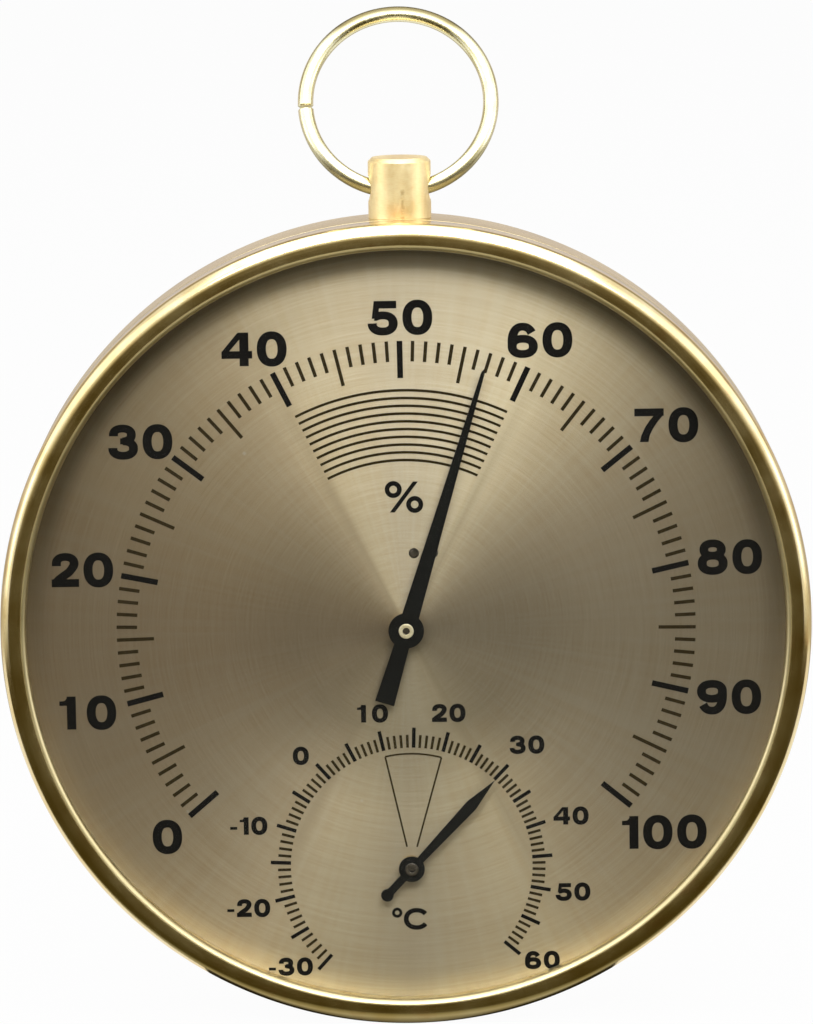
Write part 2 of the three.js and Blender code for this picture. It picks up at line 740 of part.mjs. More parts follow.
// Rivet along Z through a coil's end and the wall behind it
function coilRivet(name, coil, front, wall) {
  const inside = coil.outerRadius - coil.thickness / 2 - fitGap;
  const outside = coilSeat(coil) + wall + fitGap;
  const headHeight = coilRivetRadius;
  const solid = turned([
    [0, inside - headHeight],
    [coilRivetRadius, inside - headHeight],
    [coilRivetHead, inside],
    [coilRivetRadius, inside],
    [coilRivetRadius, outside],
    [coilRivetHead, outside],
    [coilRivetRadius, outside + headHeight],
    [0, outside + headHeight],
  ], small);
  const place = [coil.runLength / 2, front + coil.height / 2, 0];
  return meshOf(name, "steel", solid.rotate([90, 0, 0]).translate(place));
}

// Spindle with a thinner rear pivot
function arbor(name, radius, back) {
  const front = handFront - fitGap / 2 + seatGap;
  return meshOf(name, "darkSteel", turned([
    [0, front],
    [radius, front],
    [radius, back - arborPivotLength],
    [radius / 2, back],
    [0, back],
  ], coarse));
}

function collet(name, arborRadius, coil, front) {
  const outer = coil.innerRadius - coil.thickness / 2 - fitGap;
  const back = front + coil.height + fitGap;
  return meshOf(name, "brass", washer(arborRadius + fitGap / 2, outer, front - fitGap, back, coarse));
}

// Frame of the thermometer: the riveted bush clamps its front leaf to the dial
function thermometerFrameMesh() {
  const { thickness, footHeight } = thermometerFrame;
  const reach = coilSeat(thermometerCoil) + thickness;
  const barrel = bushBarrel(thermometerArborRadius, thermometerFrontBush);
  const body = bracketStrap(thermometerFrame, reach, footHeight, bridgeFront, frameLeafBack)
    .add(bracketLeaf(thermometerFrame, reach, bridgeFront))
    .add(bracketLeaf(thermometerFrame, reach, frameLeafFront))
    .subtract(hole(barrel + fitGap, bridgeFront, bridgeFront + thickness))
    .subtract(hole(thermometerArborRadius + fitGap, frameLeafFront, frameLeafBack))
    .subtract(coilRivetHole(thermometerCoil, thermometerCoilFront, thickness));
  return meshOf("thermometer_frame", "steel", body);
}

// A group that turns its contents clockwise, seen from the front
function turnedGroup(degrees, ...children) {
  const group = new THREE.Group();
  group.rotation.y = THREE.MathUtils.degToRad(degrees);
  group.add(...children);
  return group;
}

function hygrometer() {
  const radius = hygrometerArborRadius;
  const [coil, coilFront] = [hygrometerCoil, hygrometerCoilFront];
  const [leftRivet, rightRivet] = bridgeRivetPlaces();
  const footBack = bridgeFront + bridge.thickness;
  const hand = turnedGroup(
    hygrometerZeroAngle + (hygrometerSpan * hygrometerReading) / 100,
    handMesh("hygrometer_pointer", hygrometerHandShape(), radius),
    eyelet("pointer_eyelet", "brass", radius, hygrometerFrontBush),
    arbor("hygrometer_arbor", radius, bridgeLeafBack + hygrometerRearBearing.flangeThickness),
    collet("hygrometer_collet", radius, coil, coilFront),
  );
  const group = new THREE.Group();
  group.position.z = hygrometerZ;
  group.add(
    rivetedBush("hygrometer_front_bush", radius, hygrometerFrontBush, dialFront, dialBack),
    hygrometerBridge(),
    rivetAlongY("bridge_rivet_left", ...leftRivet, dialFront, footBack),
    rivetAlongY("bridge_rivet_right", ...rightRivet, dialFront, footBack),
    rivetedBush("hygrometer_rear_bush", radius, hygrometerRearBearing, adjusterFront, bridgeLeafBack),
    hygrometerAdjuster(),
    coilMesh("hygrometer_coil", coil, coilFront, adjusterThickness),
    coilRivet("hygrometer_coil_rivet", coil, coilFront, adjusterThickness),
    hand,
  );
  return group;
}

function thermometer() {
  const radius = thermometerArborRadius;
  const [coil, coilFront] = [thermometerCoil, thermometerCoilFront];
  const { thickness } = thermometerFrame;
  const hand = turnedGroup(
    thermometerReadingAngle,
    handMesh("thermometer_pointer", thermometerHandShape(), radius),
    eyelet("thermometer_eyelet", "darkSteel", radius, thermometerFrontBush),
    arbor("thermometer_arbor", radius, frameLeafBack + arborTail),
    collet("thermometer_collet", radius, coil, coilFront),
  );
  const group = new THREE.Group();
  group.position.z = thermometerZ;
  group.add(
    rivetedBush("thermometer_bush", radius, thermometerFrontBush, dialFront, bridgeFront + thickness),
    thermometerFrameMesh(),
    coilMesh("thermometer_coil", coil, coilFront, thickness),
    coilRivet("thermometer_coil_rivet", coil, coilFront, thickness),
    hand,
  );
  return group;
}

function hanger() {
  const swing = new THREE.Group();
  swing.position.set(0, -postFromBack, holeZ);
  swing.rotation.x = -ringLean;
  swing.add(hangingRing());
  const group = new THREE.Group();
  group.add(hangerPost(), postWasher(), swing);
  return group;
}

const station = new THREE.Group();
station.name = "analog_weather_station";
station.add(
  caseShell(),
  bezelRing(),
  glassLens(),
  lensGasket(),
  frontSpacerRing(),
  rearSpacerRing(),
  hanger(),
  turnedGroup(dialTurn, dialPlate(), hygrometer(), thermometer()),
);

console.log("least gap in the hygrometer's coil, mm:", leastCoilGap(hygrometerCoil).toFixed(3));
console.log("least gap in the thermometer's coil, mm:", leastCoilGap(thermometerCoil).toFixed(3));

export default station;
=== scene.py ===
# Looks of the round thermo-hygrometer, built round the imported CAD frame.
# Lengths are written in millimetres and go into the meshes in metres.
# +Z is up and the dial faces -Y. Profiles of turned pieces are points of radius and y.
# Flat shapes are drawn as seen from the front, in x and z.
import math

import bmesh
import bpy
from mathutils import Matrix, Quaternion, Vector
from mathutils.geometry import delaunay_2d_cdt


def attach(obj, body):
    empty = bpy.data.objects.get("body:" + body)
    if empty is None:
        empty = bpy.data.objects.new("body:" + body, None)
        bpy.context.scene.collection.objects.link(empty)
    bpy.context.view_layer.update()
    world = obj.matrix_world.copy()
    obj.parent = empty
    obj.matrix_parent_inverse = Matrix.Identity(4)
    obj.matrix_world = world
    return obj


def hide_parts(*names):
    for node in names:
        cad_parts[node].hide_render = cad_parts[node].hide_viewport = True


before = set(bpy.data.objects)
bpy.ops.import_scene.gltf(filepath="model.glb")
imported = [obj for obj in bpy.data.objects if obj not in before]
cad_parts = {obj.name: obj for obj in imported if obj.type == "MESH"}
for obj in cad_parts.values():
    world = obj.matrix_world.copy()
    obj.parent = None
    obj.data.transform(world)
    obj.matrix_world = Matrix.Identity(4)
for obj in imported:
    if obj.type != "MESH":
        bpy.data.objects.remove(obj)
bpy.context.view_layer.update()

MM = 0.001

# Camera, as fitted to the outline of the case and the scales in the photograph
CAMERA_PLACE = (0.27, -688.2, 116.9)
CAMERA_AIM = (0.27, -14.0, 13.96)
CAMERA_LENS = 239.4
CAMERA_SENSOR = 36.0
CAMERA_ROLL = -0.86  # degrees

# Case
CASE_RADIUS = 51.0
SHEET = 0.8
BACK_EDGE_RADIUS = 5.1
WALL_INNER = CASE_RADIUS - SHEET
NECK_OUTER = 49.9
NECK_INNER = 49.1
NECK_FRONT = -16.35
NECK_BACK = -14.3
GROOVE_DEPTH = 0.4
GROOVE_WIDTH = 0.9
VENT_COUNT = 12
VENT_RADIUS = 1.5
VENT_FLARE = 0.18
VENT_CIRCLE = 36.0
SLOT_RADIUS = 13.0
SLOT_HALF_WIDTH = 1.5
SLOT_HALF_ANGLE = 12.0 + math.degrees(0.9 / 13.0)

# Bezel, window and spacer
BEZEL_BACK = -14.6
BEZEL_FRONT = -20.2
FLANGE_BACK = -19.4
LIP_RADIUS = 47.7
LIP_ROUNDING = 0.76
SHOULDER_ROUNDING = 1.6
BEAD_HEIGHT = 0.4
BEAD_HALF = 0.15
GLASS_RADIUS = 49.8
GLASS_FRONT = -19.1
GLASS_BACK = -17.3
GLASS_CHAMFER = 0.2
GLASS_IOR = 1.5
SPACER_OUTER = 48.8
SPACER_INNER = 48.65
SPACER_FRONT = -17.0
SPACER_BACK = -14.03

# Dial and its two axes
DIAL_FRONT = -14.0
DIAL_BACK = -13.4
DIAL_TURN = -0.48  # degrees clockwise, seen from the front
HYGROMETER_Z = -0.95
THERMOMETER_Z = -31.7
HYGROMETER_BORE = 1.55
THERMOMETER_BORE = 1.225
HYGROMETER_ARBOR = 0.45
THERMOMETER_ARBOR = 0.35
HYGROMETER_FLANGE = 0.5
THERMOMETER_FLANGE = 0.4
FRAME_BACK = -12.7
BRIDGE_RIVETS = ((1.2, 9.625), (3.6, 9.625))  # from the hygrometer's axis
BRIDGE_RIVET_RADIUS = 0.55
RIVET_BACK = -12.5
FIT_GAP = 0.1

# Hands
HAND_BACK = -15.6
HAND_FRONT = -15.9
EYELET_FRONT = -16.2
HAND_EDGE = 0.06
DEGREES_PER_CENT = 2.6
HYGROMETER_READING = (56.8 - 50) * DEGREES_PER_CENT
THERMOMETER_READING = 43.8

# Post and ring
POST_RADIUS = 3.95
POST_TOP = 58.5
POST_CHAMFER = 0.5
POST_Y = -10.0
HOLE_Z = 54.6
HOLE_RADIUS = 1.64
TENON_HOLE = 2.0
WIRE_RADIUS = 0.985
WIRE_EDGE = 0.12
RING_RADIUS = 11.7
RING_REACH = 11.3566
RING_LEAN = 22.84
RING_JOINT = 0.35
RING_JOINT_ANGLE = 267.0
SCRATCH_X = 0.35

# Ink
INK = 0.03  # thickness
ARC_COUNT = 10

# Small roundings: a plain edge and one that is hardly broken
EDGE = 0.1
BROKEN = 0.03
ROUNDING_STEPS = 5


def polar(radius, degrees, centre=(0.0, 0.0)):
    """The point at an angle clockwise from the top, as x and z."""
    angle = math.radians(degrees)
    return (centre[0] + radius * math.sin(angle), centre[1] + radius * math.cos(angle))


def turn_point(point, degrees):
    """A point turned clockwise about the middle of the case, seen from the front."""
    angle = math.radians(degrees)
    c, s = math.cos(angle), math.sin(angle)
    x, z = point
    return (x * c + z * s, z * c - x * s)


def arc(radius, start, end, steps, centre=(0.0, 0.0)):
    """Points from one angle to another, both clockwise from the top."""
    return [polar(radius, start + (end - start) * i / steps, centre) for i in range(steps + 1)]


# The two axes on the dial and, with the dial's small turn, in the case
HYGROMETER_CENTRE = (0.0, HYGROMETER_Z)
THERMOMETER_CENTRE = (0.0, THERMOMETER_Z)
HYGROMETER_AXIS = turn_point(HYGROMETER_CENTRE, DIAL_TURN)
THERMOMETER_AXIS = turn_point(THERMOMETER_CENTRE, DIAL_TURN)


# Meshes


def make_object(name, mesh_points, faces):
    """An object of that mesh, its points given in millimetres, with faces turned outwards."""
    mesh = bpy.data.meshes.new(name)
    mesh.from_pydata([[c * MM for c in p] for p in mesh_points], [], faces)
    body = bmesh.new()
    body.from_mesh(mesh)
    bmesh.ops.remove_doubles(body, verts=body.verts, dist=1e-7)
    bmesh.ops.recalc_face_normals(body, faces=body.faces)
    body.to_mesh(mesh)
    body.free()
    obj = bpy.data.objects.new(name, mesh)
    bpy.context.scene.collection.objects.link(obj)
    shade(obj, 30)
    return obj


def shade(obj, smooth_angle):
    obj.data.shade_smooth()
    obj.data.set_sharp_from_angle(angle=math.radians(smooth_angle))


def moved(obj, matrix):
    obj.data.transform(matrix)
    return obj


def shift(x, y, z):
    return Matrix.Translation((x * MM, y * MM, z * MM))


def spin(degrees, axis):
    return Matrix.Rotation(math.radians(degrees), 4, axis)


def rounded(points, closed):
    """A profile whose corners with a third number are rounded to that radius."""
    made = []
    count = len(points)
    for i, point in enumerate(points):
        radius = point[2] if len(point) > 2 else 0.0
        if radius == 0.0 or (not closed and i in (0, count - 1)):
            made.append(tuple(point[:2]))
            continue
        corner = Vector(point[:2])
        before = (Vector(points[i - 1][:2]) - corner).normalized()
        after = (Vector(points[(i + 1) % count][:2]) - corner).normalized()
        half = before.angle(after) / 2
        reach = radius / math.tan(half)
        centre = corner + (before + after).normalized() * (radius / math.sin(half))
        start = corner + before * reach - centre
        sweep = start.angle_signed(corner + after * reach - centre)
        for step in range(ROUNDING_STEPS + 1):
            spoke = start.copy()
            spoke.rotate(Matrix.Rotation(-sweep * step / ROUNDING_STEPS, 2))
            made.append(tuple(centre + spoke))
    return made


def skin(rings, closed=False):
    """Faces between rings of point numbers; a ring may be a single point."""
    faces = []
    for a, b in zip(rings, rings[1:] + (rings[:1] if closed else [])):
        sides = max(len(a), len(b))
        for i in range(sides):
            j = (i + 1) % sides
            corners = [a[i % len(a)], a[j % len(a)], b[j % len(b)], b[i % len(b)]]
            face = list(dict.fromkeys(corners))
            if len(face) > 2:
                faces.append(face)
    return faces


def revolved(profile, segments, closed):
    """Points and faces of a profile of radius and y revolved about the Y axis."""
    points, rings = [], []
    for radius, y in profile:
        start = len(points)
        if radius < 1e-6:
            points.append((0.0, y, 0.0))
        else:
            points += [(x, y, z) for x, z in arc(radius, 0.0, 360.0, segments)[:-1]]
        rings.append(list(range(start, len(points))))
    return points, skin(rings, closed)


def turned(name, profile, segments, closed=False, at=(0.0, 0.0)):
    """A turned piece about the axis along Y through a point of x and z."""
    points, faces = revolved(rounded(profile, closed), segments, closed)
    return moved(make_object(name, points, faces), shift(at[0], 0, at[1]))


def cylinder(name, radius, front, back, segments=48, at=(0.0, 0.0)):
    return turned(name, [(0, front), (radius, front), (radius, back), (0, back)], segments, at=at)


def inside(polygon, x, z):
    hit = False
    for (ax, az), (bx, bz) in zip(polygon, polygon[1:] + polygon[:1]):
        if (az > z) != (bz > z) and x < (bx - ax) * (z - az) / (bz - az) + ax:
            hit = not hit
    return hit


def union(polygons):
    """Points and faces that cover polygons of x and z, which may overlap."""
    points, edges = [], []
    for polygon in polygons:
        base, count = len(points), len(polygon)
        edges += [(base + i, base + (i + 1) % count) for i in range(count)]
        points += [Vector(p) for p in polygon]
    found = delaunay_2d_cdt(points, edges, [], 0, 1e-5)
    flat = [tuple(p) for p in found[0]]
    kept = []
    for face in found[2]:
        x, z = (sum(flat[i][axis] for i in face) / len(face) for axis in (0, 1))
        if any(inside(polygon, x, z) for polygon in polygons):
            kept.append(tuple(face))
    return flat, kept


def slab(name, shapes, front, back):
    """A closed solid between two y planes, from flat shapes: points of x and z, and faces."""
    corners, faces = [], []
    for flat, cover in shapes:
        base, count = len(corners), len(flat)
        corners += [(x, front, z) for x, z in flat] + [(x, back, z) for x, z in flat]
        edges = {(a, b) for face in cover for a, b in zip(face, face[1:] + face[:1])}
        walls = [(a, b, b + count, a + count) for a, b in edges if (b, a) not in edges]
        fronts = [tuple(face[::-1]) for face in cover]
        backs = [tuple(i + count for i in face) for face in cover]
        faces += [tuple(i + base for i in face) for face in fronts + backs + walls]
    return make_object(name, corners, faces)


def combine(obj, tools, operation="DIFFERENCE"):
    """Cuts the tools from obj, or joins them to it, and removes them."""
    for tool in tools:
        modifier = obj.modifiers.new("combine", "BOOLEAN")
        modifier.operation = operation
        modifier.solver = "EXACT"
        modifier.object = tool
    seen = obj.evaluated_get(bpy.context.evaluated_depsgraph_get())
    made = bpy.data.meshes.new_from_object(seen)
    obj.modifiers.clear()
    obj.data = made
    for tool in tools:
        bpy.data.objects.remove(tool)
    shade(obj, 30)


def dress(obj, paint, node=None, body="case"):
    """Gives a piece its material, its body and the node that it stands for."""
    obj.data.materials.clear()
    obj.data.materials.append(paint.material)
    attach(obj, body)
    if node:
        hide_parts(node)


# Materials


def formula(operation):
    return lambda self, *others: self.nodes.math(operation, self, *others)


class Value:
    """A number or colour from a node. A formula with it adds the nodes that it needs."""

    def __init__(self, nodes, socket):
        self.nodes = nodes
        self.socket = socket

    __add__ = formula("ADD")
    __sub__ = formula("SUBTRACT")
    __mul__ = formula("MULTIPLY")
    __truediv__ = formula("DIVIDE")
    __abs__ = formula("ABSOLUTE")

    def fit(self, low, high, to_low=0.0, to_high=1.0):
        return self.nodes.value("ShaderNodeMapRange", self, low, high, to_low, to_high)

    def ramp(self, *stops, interpolation="LINEAR"):
        made = self.nodes.node("ShaderNodeValToRGB", self)
        made.color_ramp.interpolation = interpolation
        elements = made.color_ramp.elements
        while len(elements) < len(stops):
            elements.new(0.5)
        for element, (position, colour) in zip(elements, stops):
            element.position = position
            element.color = (*colour, 1.0)
        return Value(self.nodes, made.outputs[0])

    def mix(self, share, other, blend="MIX"):
        """This colour with a share of another."""
        made = self.nodes.node("ShaderNodeMix", share, data_type="RGBA", blend_type=blend)
        self.nodes.feed(made.inputs[6], self)
        self.nodes.feed(made.inputs[7], other if isinstance(other, Value) else (*other, 1.0))
        return Value(self.nodes, made.outputs[2])


class Nodes:
    """The nodes of a material or a world."""

    def __init__(self, owner):
        owner.use_nodes = True
        self.tree = owner.node_tree

    def feed(self, socket, value):
        if isinstance(value, Value):
            self.tree.links.new(value.socket, socket)
        else:
            socket.default_value = value

    def node(self, kind, *values, sockets=(), **settings):
        """A node with its settings, values for its first sockets and for those named in pairs."""
        made = self.tree.nodes.new(kind)
        for key, value in settings.items():
            setattr(made, key, value)
        for socket, value in zip(made.inputs, values):
            self.feed(socket, value)
        for name, value in sockets:
            self.feed(made.inputs[name], value)
        return made

    def value(self, kind, *values, output=0, **settings):
        return Value(self, self.node(kind, *values, **settings).outputs[output])

    def math(self, operation, *values, clamp=False):
        return self.value("ShaderNodeMath", *values, operation=operation, use_clamp=clamp)

    def parts(self, vector):
        return [Value(self, output) for output in self.node("ShaderNodeSeparateXYZ", vector).outputs]


MIDDLE = (0.0, 0.0)


class Paint(Nodes):
    """A material of one Principled shader; `place` is the point on the piece, in metres."""

    def __init__(self, name):
        self.material = bpy.data.materials.new(name)
        super().__init__(self.material)
        self.shader = self.tree.nodes["Principled BSDF"]
        self.place = self.value("ShaderNodeTexCoord", output="Object")
        self.xyz = self.parts(self.scaled(1, 1, 1))

    def scaled(self, x, y, z):
        """The place in millimetres, times a factor along each axis."""
        factors = (x / MM, y / MM, z / MM)
        return self.value("ShaderNodeVectorMath", self.place, factors, operation="MULTIPLY")

    def noise(self, run, detail, roughness, centre=MIDDLE):
        """Noise with `run` waves per millimetre: one number, or one each for x, y and z.

        Two numbers are waves round an axis: per millimetre across and per radian along.
        """
        scale = 1.0
        if isinstance(run, float):
            vector, scale = self.place, run / MM
        elif len(run) == 2:
            vector = self.circling(centre, *run)
        else:
            vector = self.scaled(*run)
        sockets = ("Scale", scale), ("Detail", detail), ("Roughness", roughness)
        return self.value("ShaderNodeTexNoise", vector, sockets=sockets)

    def length(self, a, b):
        return self.math("SQRT", a * a + b * b)

    def around(self, centre):
        """Distance in millimetres from an axis along Y, and sine and cosine clockwise from the top."""
        x, z = self.xyz[0] - centre[0], self.xyz[2] - centre[1]
        radius = self.length(x, z)
        safe = self.math("MAXIMUM", radius, 0.01)
        return radius, x / safe, z / safe

    def circling(self, centre, across, along):
        radius, sine, cosine = self.around(centre)
        outwards = (radius + self.xyz[1]) * across
        return self.value("ShaderNodeCombineXYZ", outwards, sine * along, cosine * along)

    def bump(self, height, strength, distance):
        sockets = ("Strength", strength), ("Distance", distance * MM), ("Height", height)
        self.set(Normal=self.value("ShaderNodeBump", sockets=sockets))

    def set(self, **values):
        for key, value in values.items():
            self.feed(self.shader.inputs[key.replace("_", " ")], value)


def metal(name, dark, light, smooth, rough, marks, mark_depth, patch, coat=0.0, metallic=1.0):
    """Metal with cloudy patches of tone, fine marks and uneven gloss."""
    paint = Paint(name)
    cloud = paint.noise(patch, 4.0, 0.6)
    fine = paint.noise(marks, 4.0, 0.65)
    paint.colour = (cloud * 0.7 + fine * 0.3).ramp((0.34, dark), (0.62, light))
    paint.gloss = (cloud + fine).fit(0.7, 1.3, smooth, rough)
    paint.set(Base_Color=paint.colour, Metallic=metallic, Roughness=paint.gloss, Coat_Weight=coat)
    paint.bump(fine, 0.35, mark_depth)
    return paint


def speckled(name, dark, light, roughness, grain, depth, shine=0.5):
    """Paint, card, rubber or ink with a fine grain."""
    paint = Paint(name)
    coarse = paint.noise(grain, 3.0, 0.6)
    fine = paint.noise(6 * grain, 2.0, 0.5)
    both = coarse * 0.6 + fine * 0.4
    paint.set(
        Base_Color=both.ramp((0.35, dark), (0.65, light)),
        Roughness=both.fit(0.3, 0.7, roughness - 0.06, roughness + 0.06),
        Specular_IOR_Level=shine,
    )
    paint.bump(both, 0.3, depth)
    return paint


def bezel_paint():
    """Polished brass with warm patches, and a worn lip."""
    paint = Paint("polished lacquered brass")
    fine = paint.noise((9.0, 6.0), 4.0, 0.65)
    cloud = paint.noise(0.16, 3.0, 0.55)
    patches = paint.noise((0.35, 9.0), 3.0, 0.6)
    worn = paint.around(MIDDLE)[0].fit(LIP_RADIUS + 0.5, LIP_RADIUS + 0.8, 1.0, 0.0)
    base = cloud.ramp((0.3, (0.78, 0.60, 0.28)), (0.65, (0.88, 0.74, 0.44)))
    base = base.mix(patches.fit(0.56, 0.72) * 0.4, (0.72, 0.40, 0.15))
    base = base.mix(worn, (0.62, 0.53, 0.30))
    gloss = (cloud + fine).fit(0.7, 1.3, 0.13, 0.23) + worn * 0.18
    paint.set(Base_Color=base, Metallic=1.0, Roughness=gloss, Coat_Weight=0.25, Coat_Roughness=0.06)
    paint.bump(fine, 0.1, 0.003)
    return paint


def brushed_rays(paint, radius, sine, cosine):
    """Four faint painted dark rays from the hub, shade on either side of the brushing's bright parts."""
    lean = math.radians(27.5)
    distance = radius * abs(abs(sine) * math.cos(lean) - abs(cosine) * math.sin(lean))
    width = radius.fit(4.0, 40.0, 0.5, 2.0)
    edge = paint.math("SUBTRACT", 1.0, distance / width, clamp=True)
    return edge * radius.fit(20.0, 44.0, 1.0, 0.0)


def dull_centre(radius, sine, cosine):
    """Share of a painted shade near the hub, most of it below on either side."""
    below = cosine.fit(-0.4, -0.85, 0.0, 0.34) * abs(sine).fit(0.0, 0.3, 0.4, 1.0)
    return radius.fit(14.0, 24.0, 1.0, 0.0) * (below + 0.18)


def dial_paint():
    """Metal brushed in circles, with painted light and shade: bright and dark parts of the brushing round
    the hub, glints, dark rays, shade near the hub and a shadow under the rim.
    """
    paint = Paint("circular brushed dial")
    hub = HYGROMETER_AXIS
    radius, sine, cosine = paint.around(hub)
    edge, _, up = paint.around(MIDDLE)
    long_marks = paint.noise((3.2, 2.2), 5.0, 0.7, hub)
    fine_marks = paint.noise((11.0, 7.0), 3.0, 0.6, hub)
    both_marks = long_marks + fine_marks
    # Painted glints of the brushing: faint light streaks that run out from the hub.
    rays = paint.noise((0.03, 30.0), 2.0, 0.6, hub)
    cloud = paint.noise(0.05, 3.0, 0.5)
    cells = paint.value(
        "ShaderNodeTexVoronoi", paint.place, sockets=(("Scale", 0.12 / MM),), output="Distance",
    )
    # Painted highlight and shade of the circular brushing: lighter above and below the hub, darker to its
    # sides.
    painted_sheen_sectors = (paint.math("ARCTAN2", sine, cosine) / (2 * math.pi) + 0.5).ramp(
        (0.00, (0.36, 0.36, 0.35)), (0.05, (0.60, 0.59, 0.54)), (0.08, (0.60, 0.57, 0.53)),
        (0.14, (0.41, 0.39, 0.36)), (0.25, (0.32, 0.28, 0.25)), (0.36, (0.42, 0.39, 0.34)),
        (0.41, (0.53, 0.50, 0.46)), (0.44, (0.75, 0.73, 0.66)), (0.50, (0.55, 0.56, 0.59)),
        (0.56, (0.82, 0.82, 0.78)), (0.59, (0.72, 0.71, 0.67)), (0.66, (0.40, 0.38, 0.36)),
        (0.75, (0.36, 0.35, 0.34)), (0.86, (0.43, 0.42, 0.41)), (0.92, (0.60, 0.58, 0.53)),
        (0.95, (0.61, 0.60, 0.55)), (1.00, (0.36, 0.36, 0.35)),
        interpolation="B_SPLINE",
    )
    base = long_marks.ramp((0.3, (0.84, 0.67, 0.44)), (0.7, (1.0, 0.86, 0.63)))
    base = base.mix(fine_marks.fit(0.36, 0.64, 0.0, 0.2), (0.66, 0.53, 0.36))
    base = base.mix(rays.fit(0.4, 0.7, 0.0, 0.3), (1.0, 0.92, 0.74))
    base = base.mix(1.0, painted_sheen_sectors, "MULTIPLY")
    # Painted shade near the hub, most of it below.
    base = base.mix(dull_centre(radius, sine, cosine), (0.06, 0.05, 0.03))
    # Painted shadow under the rim: deepest at the top, less at the sides, none at the bottom.
    base = base.mix(edge.fit(44.6, 46.8) * up.fit(-0.3, 0.7, 0.0, 0.78), (0.05, 0.035, 0.012))
    base = base.mix(cloud.fit(0.35, 0.7, 0.0, 0.25), (0.36, 0.30, 0.22))
    # Painted shade: faint dark rays from the hub.
    base = base.mix(brushed_rays(paint, radius, sine, cosine) * 0.3, (0.22, 0.17, 0.10))
    base = base.mix(cells.fit(0.035, 0.05, 1.0, 0.0) * 0.35, (0.55, 0.54, 0.50))
    outwards = paint.value(
        "ShaderNodeVectorTransform", paint.value("ShaderNodeCombineXYZ", sine, 0.0, cosine),
        vector_type="VECTOR", convert_from="OBJECT", convert_to="WORLD",
    )
    gloss = both_marks.fit(0.7, 1.3, 0.42, 0.52)
    paint.set(Base_Color=base, Metallic=0.62, Roughness=gloss, Anisotropic=0.75, Tangent=outwards)
    paint.bump(both_marks, 0.4, 0.008)
    return paint


def glass_paint():
    """Clear glass: it shows what is behind it and mirrors by Fresnel, with a trace of wiping marks."""
    paint = Paint("clear window")
    smear = paint.noise(0.06, 4.0, 0.6)
    paint.set(
        Base_Color=smear.ramp((0.3, (0.02, 0.02, 0.02)), (0.7, (0.05, 0.05, 0.05))),
        Roughness=smear.fit(0.3, 0.7, 0.02, 0.06),
        Metallic=0.0,
    )
    rear = paint.value("ShaderNodeNewGeometry", output="Backfacing")
    fresnel = paint.value("ShaderNodeFresnel", rear.fit(0.0, 1.0, GLASS_IOR, 1 / GLASS_IOR))
    clear = paint.value("ShaderNodeBsdfTransparent", (0.995, 1.0, 0.99, 1.0))
    mirror = Value(paint, paint.shader.outputs[0])
    mixed = paint.value("ShaderNodeMixShader", fresnel, clear, mirror)
    paint.feed(paint.tree.nodes["Material Output"].inputs["Surface"], mixed)
    return paint


def wire_paint():
    """Drawn wire with a painted dark reflection on the outer side of its upper and lower bends."""
    paint = metal(
        "drawn brass wire", (0.80, 0.74, 0.44), (0.96, 0.92, 0.66), 0.18, 0.32,
        (3.0, 3.0, 3.0), 0.006, 0.3,
    )
    lean = math.radians(RING_LEAN)
    x, y, z = paint.xyz
    height = (y - POST_Y) * math.sin(lean) + (z - HOLE_Z) * math.cos(lean) - RING_REACH
    outside = (paint.length(x, height) - RING_RADIUS).fit(-0.45, 0.35)
    level = height / RING_RADIUS
    bends = paint.math("MAXIMUM", level.fit(0.55, 0.85), level.fit(-0.45, -0.75) * 0.75)
    # Painted dark reflection: the outer side of the upper and lower bends is darkened and made a little
    # rougher.
    painted_reflection_mask = outside * bends
    base = paint.colour.mix(painted_reflection_mask * 0.95, (0.16, 0.13, 0.055))
    paint.set(Base_Color=base, Roughness=paint.gloss + painted_reflection_mask * 0.15)
    return paint


def post_paint():
    """Satin brass with a short upright scratch and a warmer patch at the foot."""
    paint = metal(
        "satin brass post", (0.86, 0.64, 0.30), (0.97, 0.83, 0.49), 0.3, 0.46,
        (1.5, 1.5, 8.0), 0.006, 0.35, metallic=0.65,
    )
    x, y, z = paint.xyz
    front = y.fit(POST_Y, POST_Y - 1.0)
    wander = (paint.noise((2.0, 2.0, 1.2), 3.0, 0.6) - 0.5) * 0.5
    line = abs(x + (wander - SCRATCH_X)).fit(0.08, 0.3, 1.0, 0.0) * z.fit(54.8, 54.4)
    breaks = paint.noise((1.0, 1.0, 1.6), 2.0, 0.5).fit(0.38, 0.5)
    base = paint.colour.mix(line * breaks * front * 0.55, (0.42, 0.27, 0.10))
    warm = paint.length(x + 0.4, z - 51.6).fit(0.3, 1.7, 0.6, 0.0) * front
    paint.set(Base_Color=base.mix(warm, (0.86, 0.50, 0.20)))
    return paint


# Marks that run about evenly in all directions
EVEN = (4.0, 4.0, 4.0)

